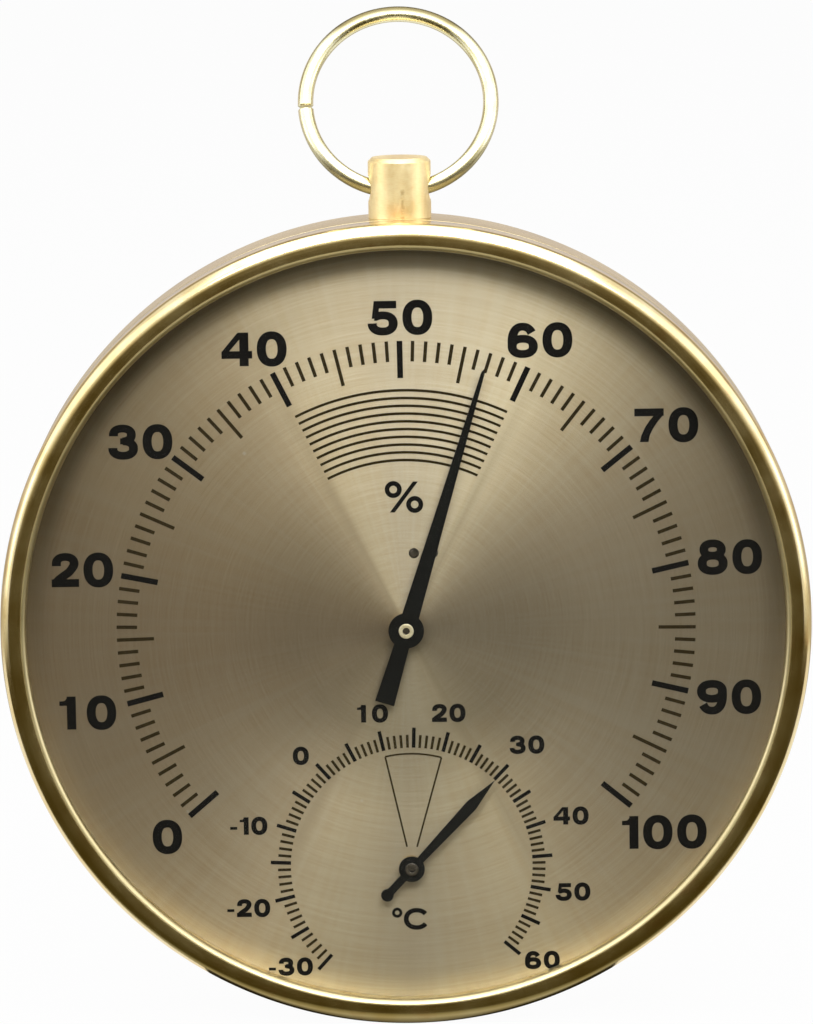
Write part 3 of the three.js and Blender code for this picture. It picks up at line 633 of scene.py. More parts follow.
BEZEL = bezel_paint()
WALL = metal(
    "drawn brass wall", (0.66, 0.53, 0.26), (0.82, 0.70, 0.42), 0.2, 0.32, (7.0, 3.0), 0.006, 0.12, 0.15,
)
DIAL = dial_paint()
GLASS = glass_paint()
POST = post_paint()
WIRE = wire_paint()
SPACER = metal(
    "gilt inner wall", (0.93, 0.77, 0.42), (1.0, 0.92, 0.66), 0.25, 0.45, (3.0, 18.0), 0.01, 0.5,
)
TURNED_BRASS = metal(
    "turned brass", (0.70, 0.50, 0.18), (0.88, 0.70, 0.36), 0.18, 0.3, (2.0, 9.0, 2.0), 0.004, 0.6,
)
EYELET = metal(
    "pale brass eyelet", (0.86, 0.74, 0.48), (0.98, 0.90, 0.68), 0.3, 0.45, EVEN, 0.004, 0.9, metallic=0.7,
)
STEEL = metal(
    "rolled steel", (0.34, 0.34, 0.35), (0.52, 0.52, 0.52), 0.28, 0.42, (1.0, 9.0, 9.0), 0.006, 0.3,
)
DARK_STEEL = metal(
    "blued steel", (0.05, 0.045, 0.04), (0.16, 0.14, 0.12), 0.28, 0.42, EVEN, 0.004, 0.8,
)
COIL = metal(
    "copper strip", (0.52, 0.27, 0.14), (0.74, 0.44, 0.26), 0.25, 0.4, (1.0, 9.0, 1.0), 0.004, 0.4,
)
RUBBER = speckled("black seal", (0.012, 0.012, 0.012), (0.035, 0.034, 0.032), 0.7, 1.2, 0.01)
CARD = speckled("pressed card", (0.56, 0.48, 0.34), (0.74, 0.66, 0.50), 0.82, 0.8, 0.02)
HAND = speckled(
    "black lacquer", (0.002, 0.002, 0.002), (0.006, 0.006, 0.005), 0.42, 1.6, 0.003, shine=0.2,
)
INK_BLACK, INK_BROWN = (
    speckled(name, dark, light, 0.6, 2.0, 0.002, shine=0.12) for name, dark, light in (
        ("printed black", (0.002, 0.0015, 0.001), (0.005, 0.004, 0.003)),
        ("printed brown black", (0.018, 0.011, 0.002), (0.038, 0.024, 0.005)),
    )
)


# Pieces that need functions of their own


def slot_polygon():
    """Curved slot below the hygrometer's axis."""
    start, end = 180 - SLOT_HALF_ANGLE, 180 + SLOT_HALF_ANGLE
    half, axis = SLOT_HALF_WIDTH, HYGROMETER_CENTRE
    made = arc(SLOT_RADIUS + half, start, end, 16, axis)
    made += arc(half, end, end + 180, 8, polar(SLOT_RADIUS, end, axis))[1:-1]
    made += arc(SLOT_RADIUS - half, end, start, 16, axis)
    made += arc(half, start + 180, start + 360, 8, polar(SLOT_RADIUS, start, axis))[1:-1]
    return [turn_point(p, DIAL_TURN) for p in made]


def hub_sides(hub, blade_half, root_half):
    """Right and left side of a hand's hub disc, between its blade above and its root below."""
    blade = math.degrees(math.asin(blade_half / hub))
    root = math.degrees(math.asin(root_half / hub))
    return arc(hub, blade, 180 - root, 16), arc(hub, 180 + root, 360 - blade, 16)


def large_hand_outline():
    length, half_tip, hub, tail, tail_half = 34.65, 0.225, 2.25, 9.7, 1.25
    right, left = hub_sides(hub, 1.1, 0.975)
    shoulder = length - 2 * half_tip
    tip = [(-half_tip, shoulder), (0.0, length), (half_tip, shoulder)]
    return tip + right + [(tail_half, -tail), (-tail_half, -tail)] + left


def small_hand_outline():
    length, widest, half, hub, tail, tail_radius = 15.55, 11.2, 0.75, 1.65, 4.6, 0.8
    right, left = hub_sides(hub, 0.475, 0.5)
    neck = math.degrees(math.asin(0.5 / tail_radius))
    end = arc(tail_radius, neck, 360 - neck, 20, (0.0, -tail))
    return [(0.0, length), (half, widest)] + right + end + left + [(-half, widest)]


def hand_piece(scale, outline, bore, reading, axis):
    """A flat hand, its edges broken by a small bevel."""
    hand = slab(scale + "_hand_blade", [union([outline])], HAND_FRONT, HAND_BACK)
    combine(hand, [cylinder("hand_hole", bore, -17, -15)])
    moved(hand, shift(axis[0], 0, axis[1]) @ spin(reading + DIAL_TURN, "Y"))
    bevel = hand.modifiers.new("soft edges", "BEVEL")
    bevel.width = HAND_EDGE * MM
    bevel.segments = 2
    bevel.limit_method = "ANGLE"
    bevel.angle_limit = math.radians(35)
    bevel.harden_normals = True
    dress(hand, HAND, scale + "_pointer", scale + "_hand")


def eyelet_piece(name, paint, arbor, bush_flange, axis, node, body):
    """Rolled flange in front of the hand, and a barrel that grips the spindle."""
    barrel = arbor + 0.3
    rim = arbor + 0.5
    inner = arbor + 0.1
    flange_back = HAND_FRONT - FIT_GAP / 2
    back = DIAL_FRONT - FIT_GAP - bush_flange - 0.4
    eyelet = turned(name, [
        (arbor, EYELET_FRONT, 0.06), (rim, EYELET_FRONT, 0.12), (rim, flange_back, BROKEN),
        (barrel, flange_back), (barrel, back, BROKEN), (inner, back, BROKEN),
        (inner, flange_back), (arbor, flange_back),
    ], 64, closed=True, at=axis)
    dress(eyelet, paint, node, body)


def bush_piece(name, arbor, wall, collar, flange, back, axis, node):
    """Riveted bush in the dial, with its front flange crowned by the riveting."""
    bore = arbor + FIT_GAP
    barrel = bore + wall
    rim = barrel + collar
    front = DIAL_FRONT - FIT_GAP
    rear = back + FIT_GAP
    bush = turned(name, [
        (bore, front - flange, 0.05), (rim, front - flange, 0.15), (rim, front, BROKEN), (barrel, front),
        (barrel, rear), (rim, rear, BROKEN), (rim, rear + flange, EDGE), (bore, rear + flange, 0.05),
    ], 64, closed=True, at=axis)
    dress(bush, TURNED_BRASS, node)


def rivet_piece(side, place):
    radius = BRIDGE_RIVET_RADIUS
    front = DIAL_FRONT - FIT_GAP
    head = RIVET_BACK + FIT_GAP
    rivet = turned("rivet_" + side, [
        (0, front), (radius - FIT_GAP, front, 0.04), (radius, DIAL_FRONT, 0.04), (radius, head),
        (2 * radius, head, 0.05), (radius, head + radius, 0.2), (0, head + radius),
    ], 48, at=turn_point((place[0], place[1] + HYGROMETER_Z), DIAL_TURN))
    dress(rivet, DARK_STEEL, "bridge_rivet_" + side)


# Printing on the dial


def printed(name, shapes, paint, centre=(0.0, 0.0), turn=DIAL_TURN):
    """A layer of ink on the dial; its shapes are in the dial's own frame."""
    placed = []
    for flat, cover in shapes:
        placed.append(([turn_point((x + centre[0], z + centre[1]), turn) for x, z in flat], cover))
    dress(slab(name, placed, DIAL_FRONT - INK, DIAL_FRONT), paint)


def apart(polygons):
    """Shapes of polygons that don't touch each other."""
    return [union([polygon]) for polygon in polygons]


def tick(inner, outer, width, degrees):
    """A radial mark."""
    half = width / 2
    corners = [(-half, inner), (half, inner), (half, outer), (-half, outer)]
    return [turn_point(p, degrees) for p in corners]


def band(radius, width, start, end, steps):
    """An arc of even width as one polygon."""
    return arc(radius + width / 2, start, end, steps) + arc(radius - width / 2, end, start, steps)


def thermometer_angle(celsius):
    """Angle of a temperature on the small scale, degrees clockwise from the top of the dial."""
    u = (celsius - 15) / 45
    return 2.18 + 127.4 * u - 5.3 * u ** 2 + 6.7 * u ** 3


# Numerals, drawn with a broad nib on a square whose side is the height of a flat figure

OVERSHOOT = 0.025
FIGURE_GAP = 0.15
GAP_AFTER_ONE = 2.3


class Nib:
    """Strokes as wide as `upright` where they run up and down and as `level` where they run across."""

    def __init__(self, upright, level, width=0.0):
        self.upright = upright
        self.level = level
        self.width = width
        self.middle = width / 2
        self.reach = (width - upright) / 2
        self.low = level / 2 - OVERSHOOT
        self.high = 1 + OVERSHOOT - level / 2
        self.quads = []

    def half(self, direction):
        """Half the stroke's width, as a vector square to its direction."""
        normal = Vector((-direction[1], direction[0])).normalized()
        return normal * math.hypot(normal[0] * self.upright / 2, normal[1] * self.level / 2)

    def stroke(self, path, closed=False):
        points = [Vector(p) for p in path]
        count = len(points)
        sides = []
        for i, point in enumerate(points):
            before = points[i - 1] if closed or i > 0 else point
            after = points[(i + 1) % count] if closed or i < count - 1 else point
            across = self.half(after - before)
            sides.append((point + across, point - across))
        ends = sides + sides[:1] if closed else sides
        for (a, b), (c, d) in zip(ends, ends[1:]):
            self.block(tuple(a), tuple(b), tuple(d), tuple(c))

    def loop(self, cx, cz, rx, rz, steps, power=2.25):
        self.stroke(bow(cx, cz, rx, rz, 0, 360, steps, power)[:-1], closed=True)

    def block(self, *corners):
        self.quads.append(list(corners))

    def bar(self, x0, z0, x1, z1):
        self.block((x0, z0), (x1, z0), (x1, z1), (x0, z1))


def bow(cx, cz, rx, rz, start, end, steps, power=2.25):
    """Points of a slightly squared ellipse, angles in degrees anticlockwise from the right."""
    made = []
    for i in range(steps + 1):
        angle = math.radians(start + (end - start) * i / steps)
        c, s = math.cos(angle), math.sin(angle)
        made.append((
            cx + rx * math.copysign(abs(c) ** (2 / power), c),
            cz + rz * math.copysign(abs(s) ** (2 / power), s),
        ))
    return made


def figure_0(nib):
    nib.loop(nib.middle, 0.5, nib.reach, nib.high - 0.5, 48)


def figure_1(nib):
    stem = nib.width - nib.upright
    nib.bar(stem, 0, nib.width, 1)
    low, high = (stem + 0.02, 0.725), (stem + 0.02, 1.0)
    nib.block((0.0, 0.725), low, high, (stem, 0.945), (0.17, 0.868), (0.0, 0.855))


def figure_2(nib):
    bowl, rx = 0.70, nib.reach - 0.01
    cx = 0.02 + nib.upright / 2 + rx
    path = [(cx - rx, 0.635)] + bow(cx, bowl, rx, nib.high - bowl, 180, 0, 24)
    path += [(cx + rx - 0.015, 0.64), (cx + rx - 0.07, 0.56)]
    path += [(0.56, 0.44), (0.36, 0.315), (0.22, 0.215), (0.13, 0.1)]
    nib.stroke(path)
    nib.bar(0, 0, nib.width, nib.level)


def figure_3(nib):
    waist, half = 0.525, nib.upright / 2
    upper, lower = (nib.high - waist) / 2, (waist - nib.low) / 2
    start, rx = half + 0.03, nib.reach - 0.045
    nib.stroke([(start, 0.68)] + bow(start + rx, waist + upper, rx, upper, 180, -90, 36))
    nib.stroke(bow(nib.middle, waist - lower, nib.reach, lower, 90, -180, 36) + [(half, 0.33)])
    nib.bar(0.38, waist - 0.09, 0.52, waist + 0.09)


def figure_4(nib):
    stem, low = 0.575, 0.225
    high = low + nib.level * 0.95
    nib.bar(0, low, nib.width, high)
    nib.bar(stem, 0, stem + nib.upright, 1)
    foot, edge = high - 0.02, stem + 0.01
    nib.block((0.0, foot), (0.235, foot), (edge, 0.80), (edge, 1.0), (0.52, 1.0), (0.0, 0.425))


def figure_5(nib):
    nib.bar(0.13, 1 - nib.level * 0.95, 0.85, 1)
    nib.block((0.13, 1.0), (0.33, 1.0), (0.275, 0.60), (0.255, 0.475), (0.06, 0.475))
    rx, rz = 0.335, (0.69 - nib.level / 2 - nib.low) / 2
    cx = nib.width - nib.upright / 2 - rx
    nib.stroke([(0.165, 0.535)] + bow(cx, nib.low + rz, rx, rz, 128, -180, 36) + [(cx - rx, 0.335)])


def figure_6(nib):
    rz = (0.665 - nib.level / 2 - nib.low) / 2
    nib.loop(nib.middle, nib.low + rz, nib.reach, rz, 44)
    sweep = bow(nib.middle, 0.46, nib.reach, nib.high - 0.46, 180, 33, 26)
    nib.stroke([(nib.middle - nib.reach, nib.low + rz)] + sweep)


def figure_7(nib):
    nib.bar(0, 1 - nib.level * 0.97, nib.width, 1)
    left = [(0.655, 0.82), (0.50, 0.66), (0.34, 0.44), (0.22, 0.2), (0.17, 0.0)]
    right = [(0.94, 0.82), (0.76, 0.62), (0.61, 0.42), (0.49, 0.2), (0.445, 0.0)]
    for a, b, c, d in zip(left, right, right[1:], left[1:]):
        nib.block(a, b, c, d)


def figure_8(nib):
    waist, level = 0.545, nib.level * 0.93
    ends = (level / 2 - OVERSHOOT, nib.reach), (1 + OVERSHOOT - level / 2, nib.reach - 0.06)
    for end, rx in ends:
        nib.loop(nib.middle, (waist + end) / 2, rx, abs(end - waist) / 2, 44)


def figure_9(nib):
    figure_6(nib)
    nib.quads = [[(nib.width - x, 1 - z) for x, z in quad] for quad in nib.quads]


def figure_minus(nib):
    nib.bar(0, 0.30, nib.width, 0.455)


# Width and drawing of each figure
FIGURES = {
    "0": (0.955, figure_0), "1": (0.53, figure_1), "2": (0.88, figure_2), "3": (0.95, figure_3),
    "4": (0.98, figure_4), "5": (0.89, figure_5), "6": (0.965, figure_6), "7": (0.94, figure_7),
    "8": (0.965, figure_8), "9": (0.965, figure_9), "-": (0.42, figure_minus),
}


def written(text, height, width_share, upright, level, centre):
    """The shapes of a number, centred on a point."""
    letters, pen = [], 0.0
    for letter in text:
        width, draw = FIGURES[letter]
        nib = Nib(upright, level, width)
        draw(nib)
        flat, cover = union(nib.quads)
        letters.append(([(x + pen, z) for x, z in flat], cover))
        after_one = GAP_AFTER_ONE if letter == "1" and len(text) == 2 else 1.0
        pen += width + FIGURE_GAP * after_one
    middle = (pen - FIGURE_GAP) / 2
    across = height * width_share
    placed = []
    for flat, cover in letters:
        points = [(centre[0] + (x - middle) * across, centre[1] + (z - 0.5) * height) for x, z in flat]
        placed.append((points, cover))
    return placed


# Centres of the numbers: radius about the scale's axis and angle on the dial
LARGE_PLACES = {
    0: (40.6, -130.2), 10: (41.8, -103.7), 20: (41.6, -78.3), 30: (41.1, -53.2), 40: (40.4, -26.9),
    50: (39.6, 0.4), 60: (40.4, 25.9), 70: (41.8, 52.9), 80: (41.9, 78.7), 90: (41.9, 103.5),
    100: (42.1, 130.0),
}
SMALL_PLACES = {
    -30: (20.26, -129.0), -20: (21.5, -103.4), -10: (21.4, -74.5), 0: (20.1, -43.2),
    10: (20.4, -12.8), 20: (20.4, 14.6), 30: (21.5, 44.2), 40: (21.3, 73.4),
    50: (20.9, 100.5), 60: (20.7, 127.6),
}


# Stage: floor, cards for the reflections, world, lamps and camera

FLOOR = -51.0


def bare_material(name):
    """A material with no node yet."""
    material = bpy.data.materials.new(name)
    nodes = Nodes(material)
    nodes.tree.nodes.clear()
    return material, nodes


def seen_directly(nodes):
    """1 for a ray from the camera, a mirror or glass."""
    path = nodes.node("ShaderNodeLightPath").outputs
    kinds = ("Is Camera Ray", "Is Glossy Ray", "Is Transmission Ray")
    near, glossy, through = (Value(nodes, path[kind]) for kind in kinds)
    return nodes.math("MAXIMUM", nodes.math("MAXIMUM", near, glossy), through)


def mirror_card(name, points, axis, low, high, *stops):
    """A card that only mirrors see; its glow runs through the stops from low to high along an axis."""
    card = make_object(name, points, [tuple(range(len(points)))])
    material, nodes = bare_material(name)
    place = nodes.parts(nodes.value("ShaderNodeTexCoord", output="Object"))
    colour = place[axis].fit(low * MM, high * MM).ramp(*stops)
    nodes.node("ShaderNodeOutputMaterial", nodes.value("ShaderNodeEmission", colour))
    card.data.materials.append(material)
    for kind in ("camera", "diffuse", "transmission", "shadow", "volume_scatter"):
        setattr(card, "visible_" + kind, False)


def lying(outline, z):
    return [(x, y, z) for x, y in outline]


def standing(a, b, bottom, top):
    """Corners of an upright rectangle over two points of x and y."""
    return [(*a, bottom), (*b, bottom), (*b, top), (*a, top)]


def aimed(name, data, place, aim, roll=0.0):
    """A lamp or camera at a place, aimed at a point and rolled by degrees."""
    obj = bpy.data.objects.new(name, data)
    obj.location = Vector(place) * MM
    look = (Vector(aim) - Vector(place)).to_track_quat("-Z", "Y")
    obj.rotation_mode = "QUATERNION"
    obj.rotation_quaternion = look @ Quaternion((0, 0, 1), math.radians(roll))
    bpy.context.scene.collection.objects.link(obj)
    return obj


def lamp(name, place, width, height, power):
    data = bpy.data.lights.new(name, "AREA")
    data.shape = "RECTANGLE"
    data.size = width * MM
    data.size_y = height * MM
    data.energy = power
    aimed(name, data, place, (0, 0, 0)).visible_camera = False


# Camera
data = bpy.data.cameras.new("camera")
data.lens = CAMERA_LENS
data.sensor_width = CAMERA_SENSOR
data.sensor_fit = "HORIZONTAL"
data.clip_start = 0.01
data.clip_end = 100
bpy.context.scene.camera = aimed("camera", data, CAMERA_PLACE, CAMERA_AIM, CAMERA_ROLL)

# Dim light on the object, white to the camera and in reflections
made = bpy.data.worlds.new("studio")
nodes = Nodes(made)
background = nodes.tree.nodes["Background"]
background.inputs["Color"].default_value = (1.0, 1.0, 1.0, 1.0)
nodes.feed(background.inputs["Strength"], seen_directly(nodes).fit(0.0, 1.0, 0.16, 1.0))
bpy.context.scene.world = made

lamp("lamp_key", (40, -990, 640), 850, 290, 7.6)
lamp("lamp_top", (0, -200, 1050), 1300, 1500, 12.0)
lamp("lamp_left", (-1150, -350, 250), 500, 1100, 2.6)
lamp("lamp_right", (1150, -350, 250), 500, 1100, 2.6)

# Pale disc that shows white to the camera and in reflections, and keeps a share of its shadow
points = [(x, y, FLOOR - 0.05) for x, y in arc(6000.0, 0, 360, 96)[:-1]]
disc = make_object("floor", points, [tuple(range(len(points)))])
material, nodes = bare_material("pale floor")
matt = nodes.value("ShaderNodeBsdfDiffuse", (0.62, 0.62, 0.62, 1.0))
white = nodes.value("ShaderNodeEmission")
mixed = nodes.value("ShaderNodeMixShader", seen_directly(nodes) * 0.97, matt, white)
nodes.node("ShaderNodeOutputMaterial", mixed)
disc.data.materials.append(material)

# Dark in front of the object, paler to its sides, grey behind it
far, width, height, side_x, side_y = -900, 870, 360, 255, -235
above = FLOOR + 0.5
right = [(27, 3), (30, -19), (side_x, -19), (side_x, side_y)]
left = [(-x, y) for x, y in reversed(right)]
mirror_card(
    "card_front", lying(left + right + [(width, far), (-width, far)], FLOOR), 1, 0.0, -40.0,
    (0.47, (0.02, 0.017, 0.008)), (0.52, (0.42, 0.40, 0.30)),
    (0.56, (0.30, 0.28, 0.17)), (0.66, (0.06, 0.045, 0.01)),
)
mirror_card(
    "card_rise", standing((-width, far), (width, far), FLOOR, height), 2, FLOOR, height,
    (0.0, (0.07, 0.055, 0.02)), (0.25, (0.26, 0.22, 0.12)),
    (0.6, (0.7, 0.66, 0.5)), (1.0, (1.0, 0.98, 0.92)),
)
half = [(14, -75), (22, -105), (30, -145), (36, -200), (36, -240)]
glint = [(0, -55)] + half + [(-x, y) for x, y in reversed(half)]
mirror_card(
    "card_glint", lying(glint, above), 1, -50.0, -240.0,
    (0.0, (1.0, 0.95, 0.75)), (1.0, (0.85, 0.8, 0.62)),
)
for side, name in ((-1, "card_left"), (1, "card_right")):
    near_x, far_x = side_x * side, 760 * side
    edge = [(near_x, side_y), (far_x, side_y), (far_x, 100), (near_x, 100)]
    mirror_card(
        name, lying(edge, above), 0, near_x, far_x,
        (0.0, (0.58, 0.54, 0.42)), (1.0, (0.72, 0.68, 0.56)),
    )
    bottom, top, glow = 330, 1000, (1.8, 1.76, 1.66)
    panel = standing((550 * side, -1000), (1250 * side, 100), bottom, top)
    mirror_card(name + "_high", panel, 2, bottom, top, (0.0, glow), (1.0, glow))
mirror_card(
    "card_behind", standing((-500, 100), (500, 100), FLOOR, 240), 2, FLOOR, 240,
    (0.0, (0.52, 0.48, 0.42)), (0.22, (0.52, 0.48, 0.43)),
    (0.42, (0.78, 0.70, 0.66)), (0.6, (0.4, 0.36, 0.28)),
)


# The pieces

# Drawn cup with a grooved neck, twelve vents and a slot in its back
bend = (CASE_RADIUS - BACK_EDGE_RADIUS, -BACK_EDGE_RADIUS)
groove = (NECK_FRONT + NECK_BACK) / 2
mouth = GROOVE_WIDTH / 2
floor_half = mouth - GROOVE_DEPTH / 2
groove_radius = NECK_OUTER - GROOVE_DEPTH
case = turned("case_cup", [
    (0, 0),
    *arc(BACK_EDGE_RADIUS, 0, 90, 18, bend),
    (CASE_RADIUS, NECK_BACK, 0.15), (NECK_OUTER, NECK_BACK, EDGE),
    (NECK_OUTER, groove + mouth, EDGE), (groove_radius, groove + floor_half, EDGE),
    (groove_radius, groove - floor_half, EDGE), (NECK_OUTER, groove - mouth, EDGE),
    (NECK_OUTER, NECK_FRONT, EDGE), (NECK_INNER, NECK_FRONT, EDGE),
    (NECK_INNER, NECK_BACK + SHEET, 0.2), (WALL_INNER, NECK_BACK + SHEET + 0.3, 0.2),
    *arc(BACK_EDGE_RADIUS - SHEET, 90, 0, 14, bend),
    (0, -SHEET),
], 256)
tenon_place = shift(0, POST_Y, WALL_INNER + SHEET / 2) @ spin(90, "X")
tools = [moved(cylinder("tenon_hole", TENON_HOLE, -3, 3), tenon_place)]
mouth = VENT_RADIUS + VENT_FLARE
for i in range(VENT_COUNT):
    tools.append(turned("vent_tool", [
        (0, 1), (mouth, 1), (mouth, 0), (VENT_RADIUS, -VENT_FLARE), (VENT_RADIUS, -2), (0, -2),
    ], 40, at=polar(VENT_CIRCLE, (i + 0.5) * 360 / VENT_COUNT)))
tools.append(slab("slot_tool", [union([slot_polygon()])], -2, 1))
combine(case, tools)
dress(case, WALL, "case_shell")

# Spun ring: rounded shoulder, rolled lip and a snap bead inside
shoulder = (CASE_RADIUS - SHOULDER_ROUNDING, BEZEL_FRONT + SHOULDER_ROUNDING)
lip = (LIP_RADIUS + LIP_ROUNDING, BEZEL_FRONT + LIP_ROUNDING)
bead = (NECK_FRONT + NECK_BACK) / 2
foot = BEAD_HALF + BEAD_HEIGHT / 2
bead_radius = WALL_INNER - BEAD_HEIGHT
bezel = turned("bezel", [
    (CASE_RADIUS, BEZEL_BACK, 0.12),
    *arc(SHOULDER_ROUNDING, 90, 180, 20, shoulder),
    *arc(LIP_ROUNDING, 180, 270, 14, lip),
    (LIP_RADIUS, FLANGE_BACK),
    *arc(SHOULDER_ROUNDING - SHEET, 180, 90, 6, shoulder),
    (WALL_INNER, bead - foot, EDGE), (bead_radius, bead - BEAD_HALF, EDGE),
    (bead_radius, bead + BEAD_HALF, EDGE), (WALL_INNER, bead + foot, EDGE),
    (WALL_INNER, BEZEL_BACK, EDGE),
], 360, closed=True)
dress(bezel, BEZEL, "bezel_ring")

# Window
inner = GLASS_RADIUS - GLASS_CHAMFER
window = turned("window", [
    (0, GLASS_FRONT), (inner, GLASS_FRONT), (GLASS_RADIUS, GLASS_FRONT + GLASS_CHAMFER),
    (GLASS_RADIUS, GLASS_BACK - GLASS_CHAMFER), (inner, GLASS_BACK), (0, GLASS_BACK),
], 256)
dress(window, GLASS, "glass_lens")

# Inner wall between dial and window
wall = turned("inner_wall", [
    (SPACER_INNER, SPACER_FRONT, BROKEN), (SPACER_OUTER, SPACER_FRONT, BROKEN),
    (SPACER_OUTER, SPACER_BACK, BROKEN), (SPACER_INNER, SPACER_BACK, BROKEN),
], 256, closed=True)
dress(wall, SPACER, "front_spacer_ring")

# Dial, with holes for the bushes and rivets
dial = turned("dial", [
    (0, DIAL_FRONT), (SPACER_OUTER, DIAL_FRONT, 0.08), (SPACER_OUTER, DIAL_BACK, 0.08), (0, DIAL_BACK),
], 256)
holes = [(0, HYGROMETER_Z, HYGROMETER_BORE), (0, THERMOMETER_Z, THERMOMETER_BORE)]
holes += [(x, z + HYGROMETER_Z, BRIDGE_RIVET_RADIUS + FIT_GAP) for x, z in BRIDGE_RIVETS]
combine(dial, [
    cylinder("dial_hole", radius, -16, -12, at=turn_point((x, z), DIAL_TURN)) for x, z, radius in holes
])
dress(dial, DIAL, "dial_plate")

# Turned post with a flared cross hole, riveted into the case by its tenon
upright = shift(0, POST_Y, 0) @ spin(90, "X")
post = turned("post", [
    (0, WALL_INNER), (POST_RADIUS, WALL_INNER), (POST_RADIUS, POST_TOP - POST_CHAMFER, 0.12),
    (POST_RADIUS - POST_CHAMFER, POST_TOP, 0.12), (0, POST_TOP),
], 128)
moved(post, upright)
saddle = cylinder("saddle_tool", CASE_RADIUS + 0.02, -22, 4, 512)
half, far, mouth = 3.62, 8.0, HOLE_RADIUS + 1.2
bore = turned("bore_tool", [
    (0, -far), (mouth, -far), (HOLE_RADIUS, -half, 0.2),
    (HOLE_RADIUS, half, 0.2), (mouth, far), (0, far),
], 64)
moved(bore, shift(0, POST_Y, HOLE_Z) @ spin(90, "Z"))
combine(post, [saddle, bore])
end, head, top, radius, head_radius = 48.61, 49.51, 51.9, 1.9, 2.5
tenon = turned("tenon", [
    (0, end), (radius, end), (head_radius, end + 0.45, 0.3), (head_radius, head, EDGE),
    (radius, head), (radius, top), (0, top),
], 64)
moved(tenon, upright)
combine(post, [tenon], "UNION")
dress(post, POST, "hanger_post")

# Wire bent round to an open butt joint, with broken edges at its two ends
opening = math.degrees(RING_JOINT / RING_RADIUS)
edge_turn = math.degrees(WIRE_EDGE / RING_RADIUS)
steps, sides = 240, 28
span = 360 - opening
stations = [(0.0, WIRE_RADIUS - WIRE_EDGE)]
stations += [(edge_turn + (span - 2 * edge_turn) * i / steps, WIRE_RADIUS) for i in range(steps + 1)]
stations.append((span, WIRE_RADIUS - WIRE_EDGE))
points, rings = [], []
for along, radius in stations:
    rings.append(list(range(len(points), len(points) + sides)))
    angle = RING_JOINT_ANGLE + opening / 2 + along
    for j in range(sides):
        across = 2 * math.pi * j / sides
        x, z = polar(RING_RADIUS + radius * math.cos(across), angle)
        points.append((x, radius * math.sin(across), z + RING_REACH))
ring = make_object("ring", points, skin(rings) + [rings[0], rings[-1][::-1]])
moved(ring, shift(0, POST_Y, HOLE_Z) @ spin(-RING_LEAN, "X"))
dress(ring, WIRE, "hanging_ring", "ring")

# Hands, eyelets, bushes and rivets
hand_piece("hygrometer", large_hand_outline(), 0.85, HYGROMETER_READING, HYGROMETER_AXIS)
hand_piece("thermometer", small_hand_outline(), 0.75, THERMOMETER_READING, THERMOMETER_AXIS)
eyelet_piece(
    "hygrometer_eyelet", EYELET, HYGROMETER_ARBOR, HYGROMETER_FLANGE,
    HYGROMETER_AXIS, "pointer_eyelet", "hygrometer_hand",
)
eyelet_piece(
    "small_eyelet", DARK_STEEL, THERMOMETER_ARBOR, THERMOMETER_FLANGE,
    THERMOMETER_AXIS, "thermometer_eyelet", "thermometer_hand",
)
bush_piece(
    "hygrometer_bush", HYGROMETER_ARBOR, 0.9, 0.6, HYGROMETER_FLANGE,
    DIAL_BACK, HYGROMETER_AXIS, "hygrometer_front_bush",
)
bush_piece(
    "small_bush", THERMOMETER_ARBOR, 0.675, 0.3, THERMOMETER_FLANGE,
    FRAME_BACK, THERMOMETER_AXIS, "thermometer_bush",
)
for rivet_side, rivet_place in zip(("left", "right"), BRIDGE_RIVETS):
    rivet_piece(rivet_side, rivet_place)

# Heavy ticks at the tens, thin ones at the fives, thin and short ones between
inner, short_inner, outer, heavy, thin = 31.95, 34.05, 36.65, 0.72, 0.44
tens, rest = [], []
for value in range(101):
    angle = (value - 50) * DEGREES_PER_CENT
    if value % 10 == 0:
        tens.append(tick(inner, outer, heavy, angle))
    else:
        rest.append(tick(short_inner if value % 5 else inner, outer, thin, angle))
printed("hygrometer_tens", apart(tens), INK_BLACK, HYGROMETER_CENTRE)
printed("hygrometer_ticks", apart(rest), INK_BROWN, HYGROMETER_CENTRE)

# Thin arcs over the range from 40 to 60 per cent
outer, inner, half, width = 30.4, 21.54, 26.0, 0.33
radii = [outer + (inner - outer) * i / (ARC_COUNT - 1) for i in range(ARC_COUNT)]
arcs = [band(radius, width, -half, half, 40) for radius in radii]
printed("comfort_arcs", apart(arcs), INK_BROWN, HYGROMETER_CENTRE)

# Ticks outwards from one circle, and a narrow wedge from 10 to 20 degrees
inner, long_outer, short_outer, heavy, thin = 15.39, 17.97, 17.05, 0.46, 0.34
majors, minors = [], []
for value in range(-30, 61):
    angle = thermometer_angle(value)
    if value % 5 == 0:
        majors.append(tick(inner, long_outer, heavy, angle))
    else:
        minors.append(tick(inner, short_outer, thin, angle))
printed("thermometer_majors", apart(majors), INK_BLACK, THERMOMETER_CENTRE)
printed("thermometer_minors", apart(minors), INK_BROWN, THERMOMETER_CENTRE)
start, end = thermometer_angle(10), thermometer_angle(20)
width, inner, outer = 0.22, 2.6, 14.6
wedge = [tick(inner, outer, width, angle) for angle in (start, end)]
wedge.append(band(outer, width, start, end, 12))
printed("thermometer_wedge", [union(wedge)], INK_BROWN, THERMOMETER_CENTRE)

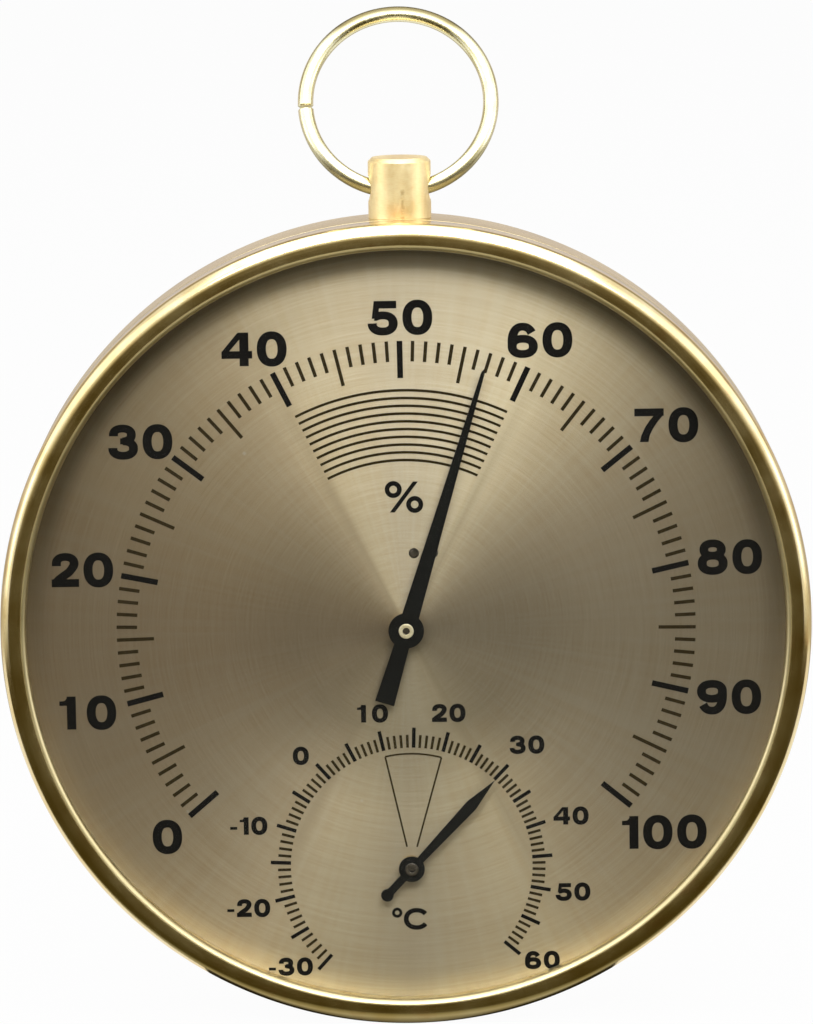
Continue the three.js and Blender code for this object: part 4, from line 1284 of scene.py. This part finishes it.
# Numbers, upright though the dial is turned
for start, axis, height, share, upright, level, places in (
    ("numeral_", HYGROMETER_CENTRE, 4.25, 0.925, 0.292, 0.236, LARGE_PLACES),
    ("small_numeral_", THERMOMETER_CENTRE, 2.26, 0.95, 0.295, 0.245, SMALL_PLACES),
):
    for value, place in places.items():
        centre = turn_point(polar(*place, axis), DIAL_TURN)
        shapes = written(str(value), height, share, upright, level, centre)
        name = start + ("minus_" if value < 0 else "") + str(abs(value))
        printed(name, shapes, INK_BLACK, turn=0.0)

# Percent and degree signs
shapes = [union([[(-1.82, -1.95), (-1.18, -1.95), (1.78, 1.95), (1.14, 1.95)]])]
for x, z in ((-1.34, 0.97), (1.34, -0.97)):
    nib = Nib(0.6, 0.6)
    nib.loop(x, z, 0.78, 0.78, 32, power=2.0)
    shapes.append(union(nib.quads))
printed("percent_sign", shapes, INK_BLACK, centre=(-0.02, 15.88), turn=0.0)

degree = Nib(0.38, 0.38)
degree.loop(-1.62, 0.84, 0.47, 0.47, 28, power=2.0)
letter = Nib(0.64, 0.58)
letter.stroke(bow(0.86, 0.0, 1.34, 1.13, 34, 326, 40, power=2.1))
shapes = [union(degree.quads), union(letter.quads)]
printed("celsius_sign", shapes, INK_BLACK, centre=(-0.06, -38.57), turn=0.0)

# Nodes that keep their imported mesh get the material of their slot
for paint, names in (
    (RUBBER, ["lens_gasket"]),
    (CARD, ["rear_spacer_ring"]),
    (TURNED_BRASS, ["hygrometer_rear_bush", "hygrometer_adjuster"]),
    (TURNED_BRASS, ["hygrometer_collet", "thermometer_collet"]),
    (STEEL, ["post_washer", "hygrometer_bridge", "thermometer_frame"]),
    (STEEL, ["hygrometer_coil_rivet", "thermometer_coil_rivet"]),
    (DARK_STEEL, ["hygrometer_arbor", "thermometer_arbor"]),
    (COIL, ["hygrometer_coil", "thermometer_coil"]),
):
    for name in names:
        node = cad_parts[name]
        shade(node, 35)
        for slot in node.material_slots:
            slot.material = paint.material

bpy.context.scene.view_settings.view_transform = "Standard"

bpy.context.view_layer.update()
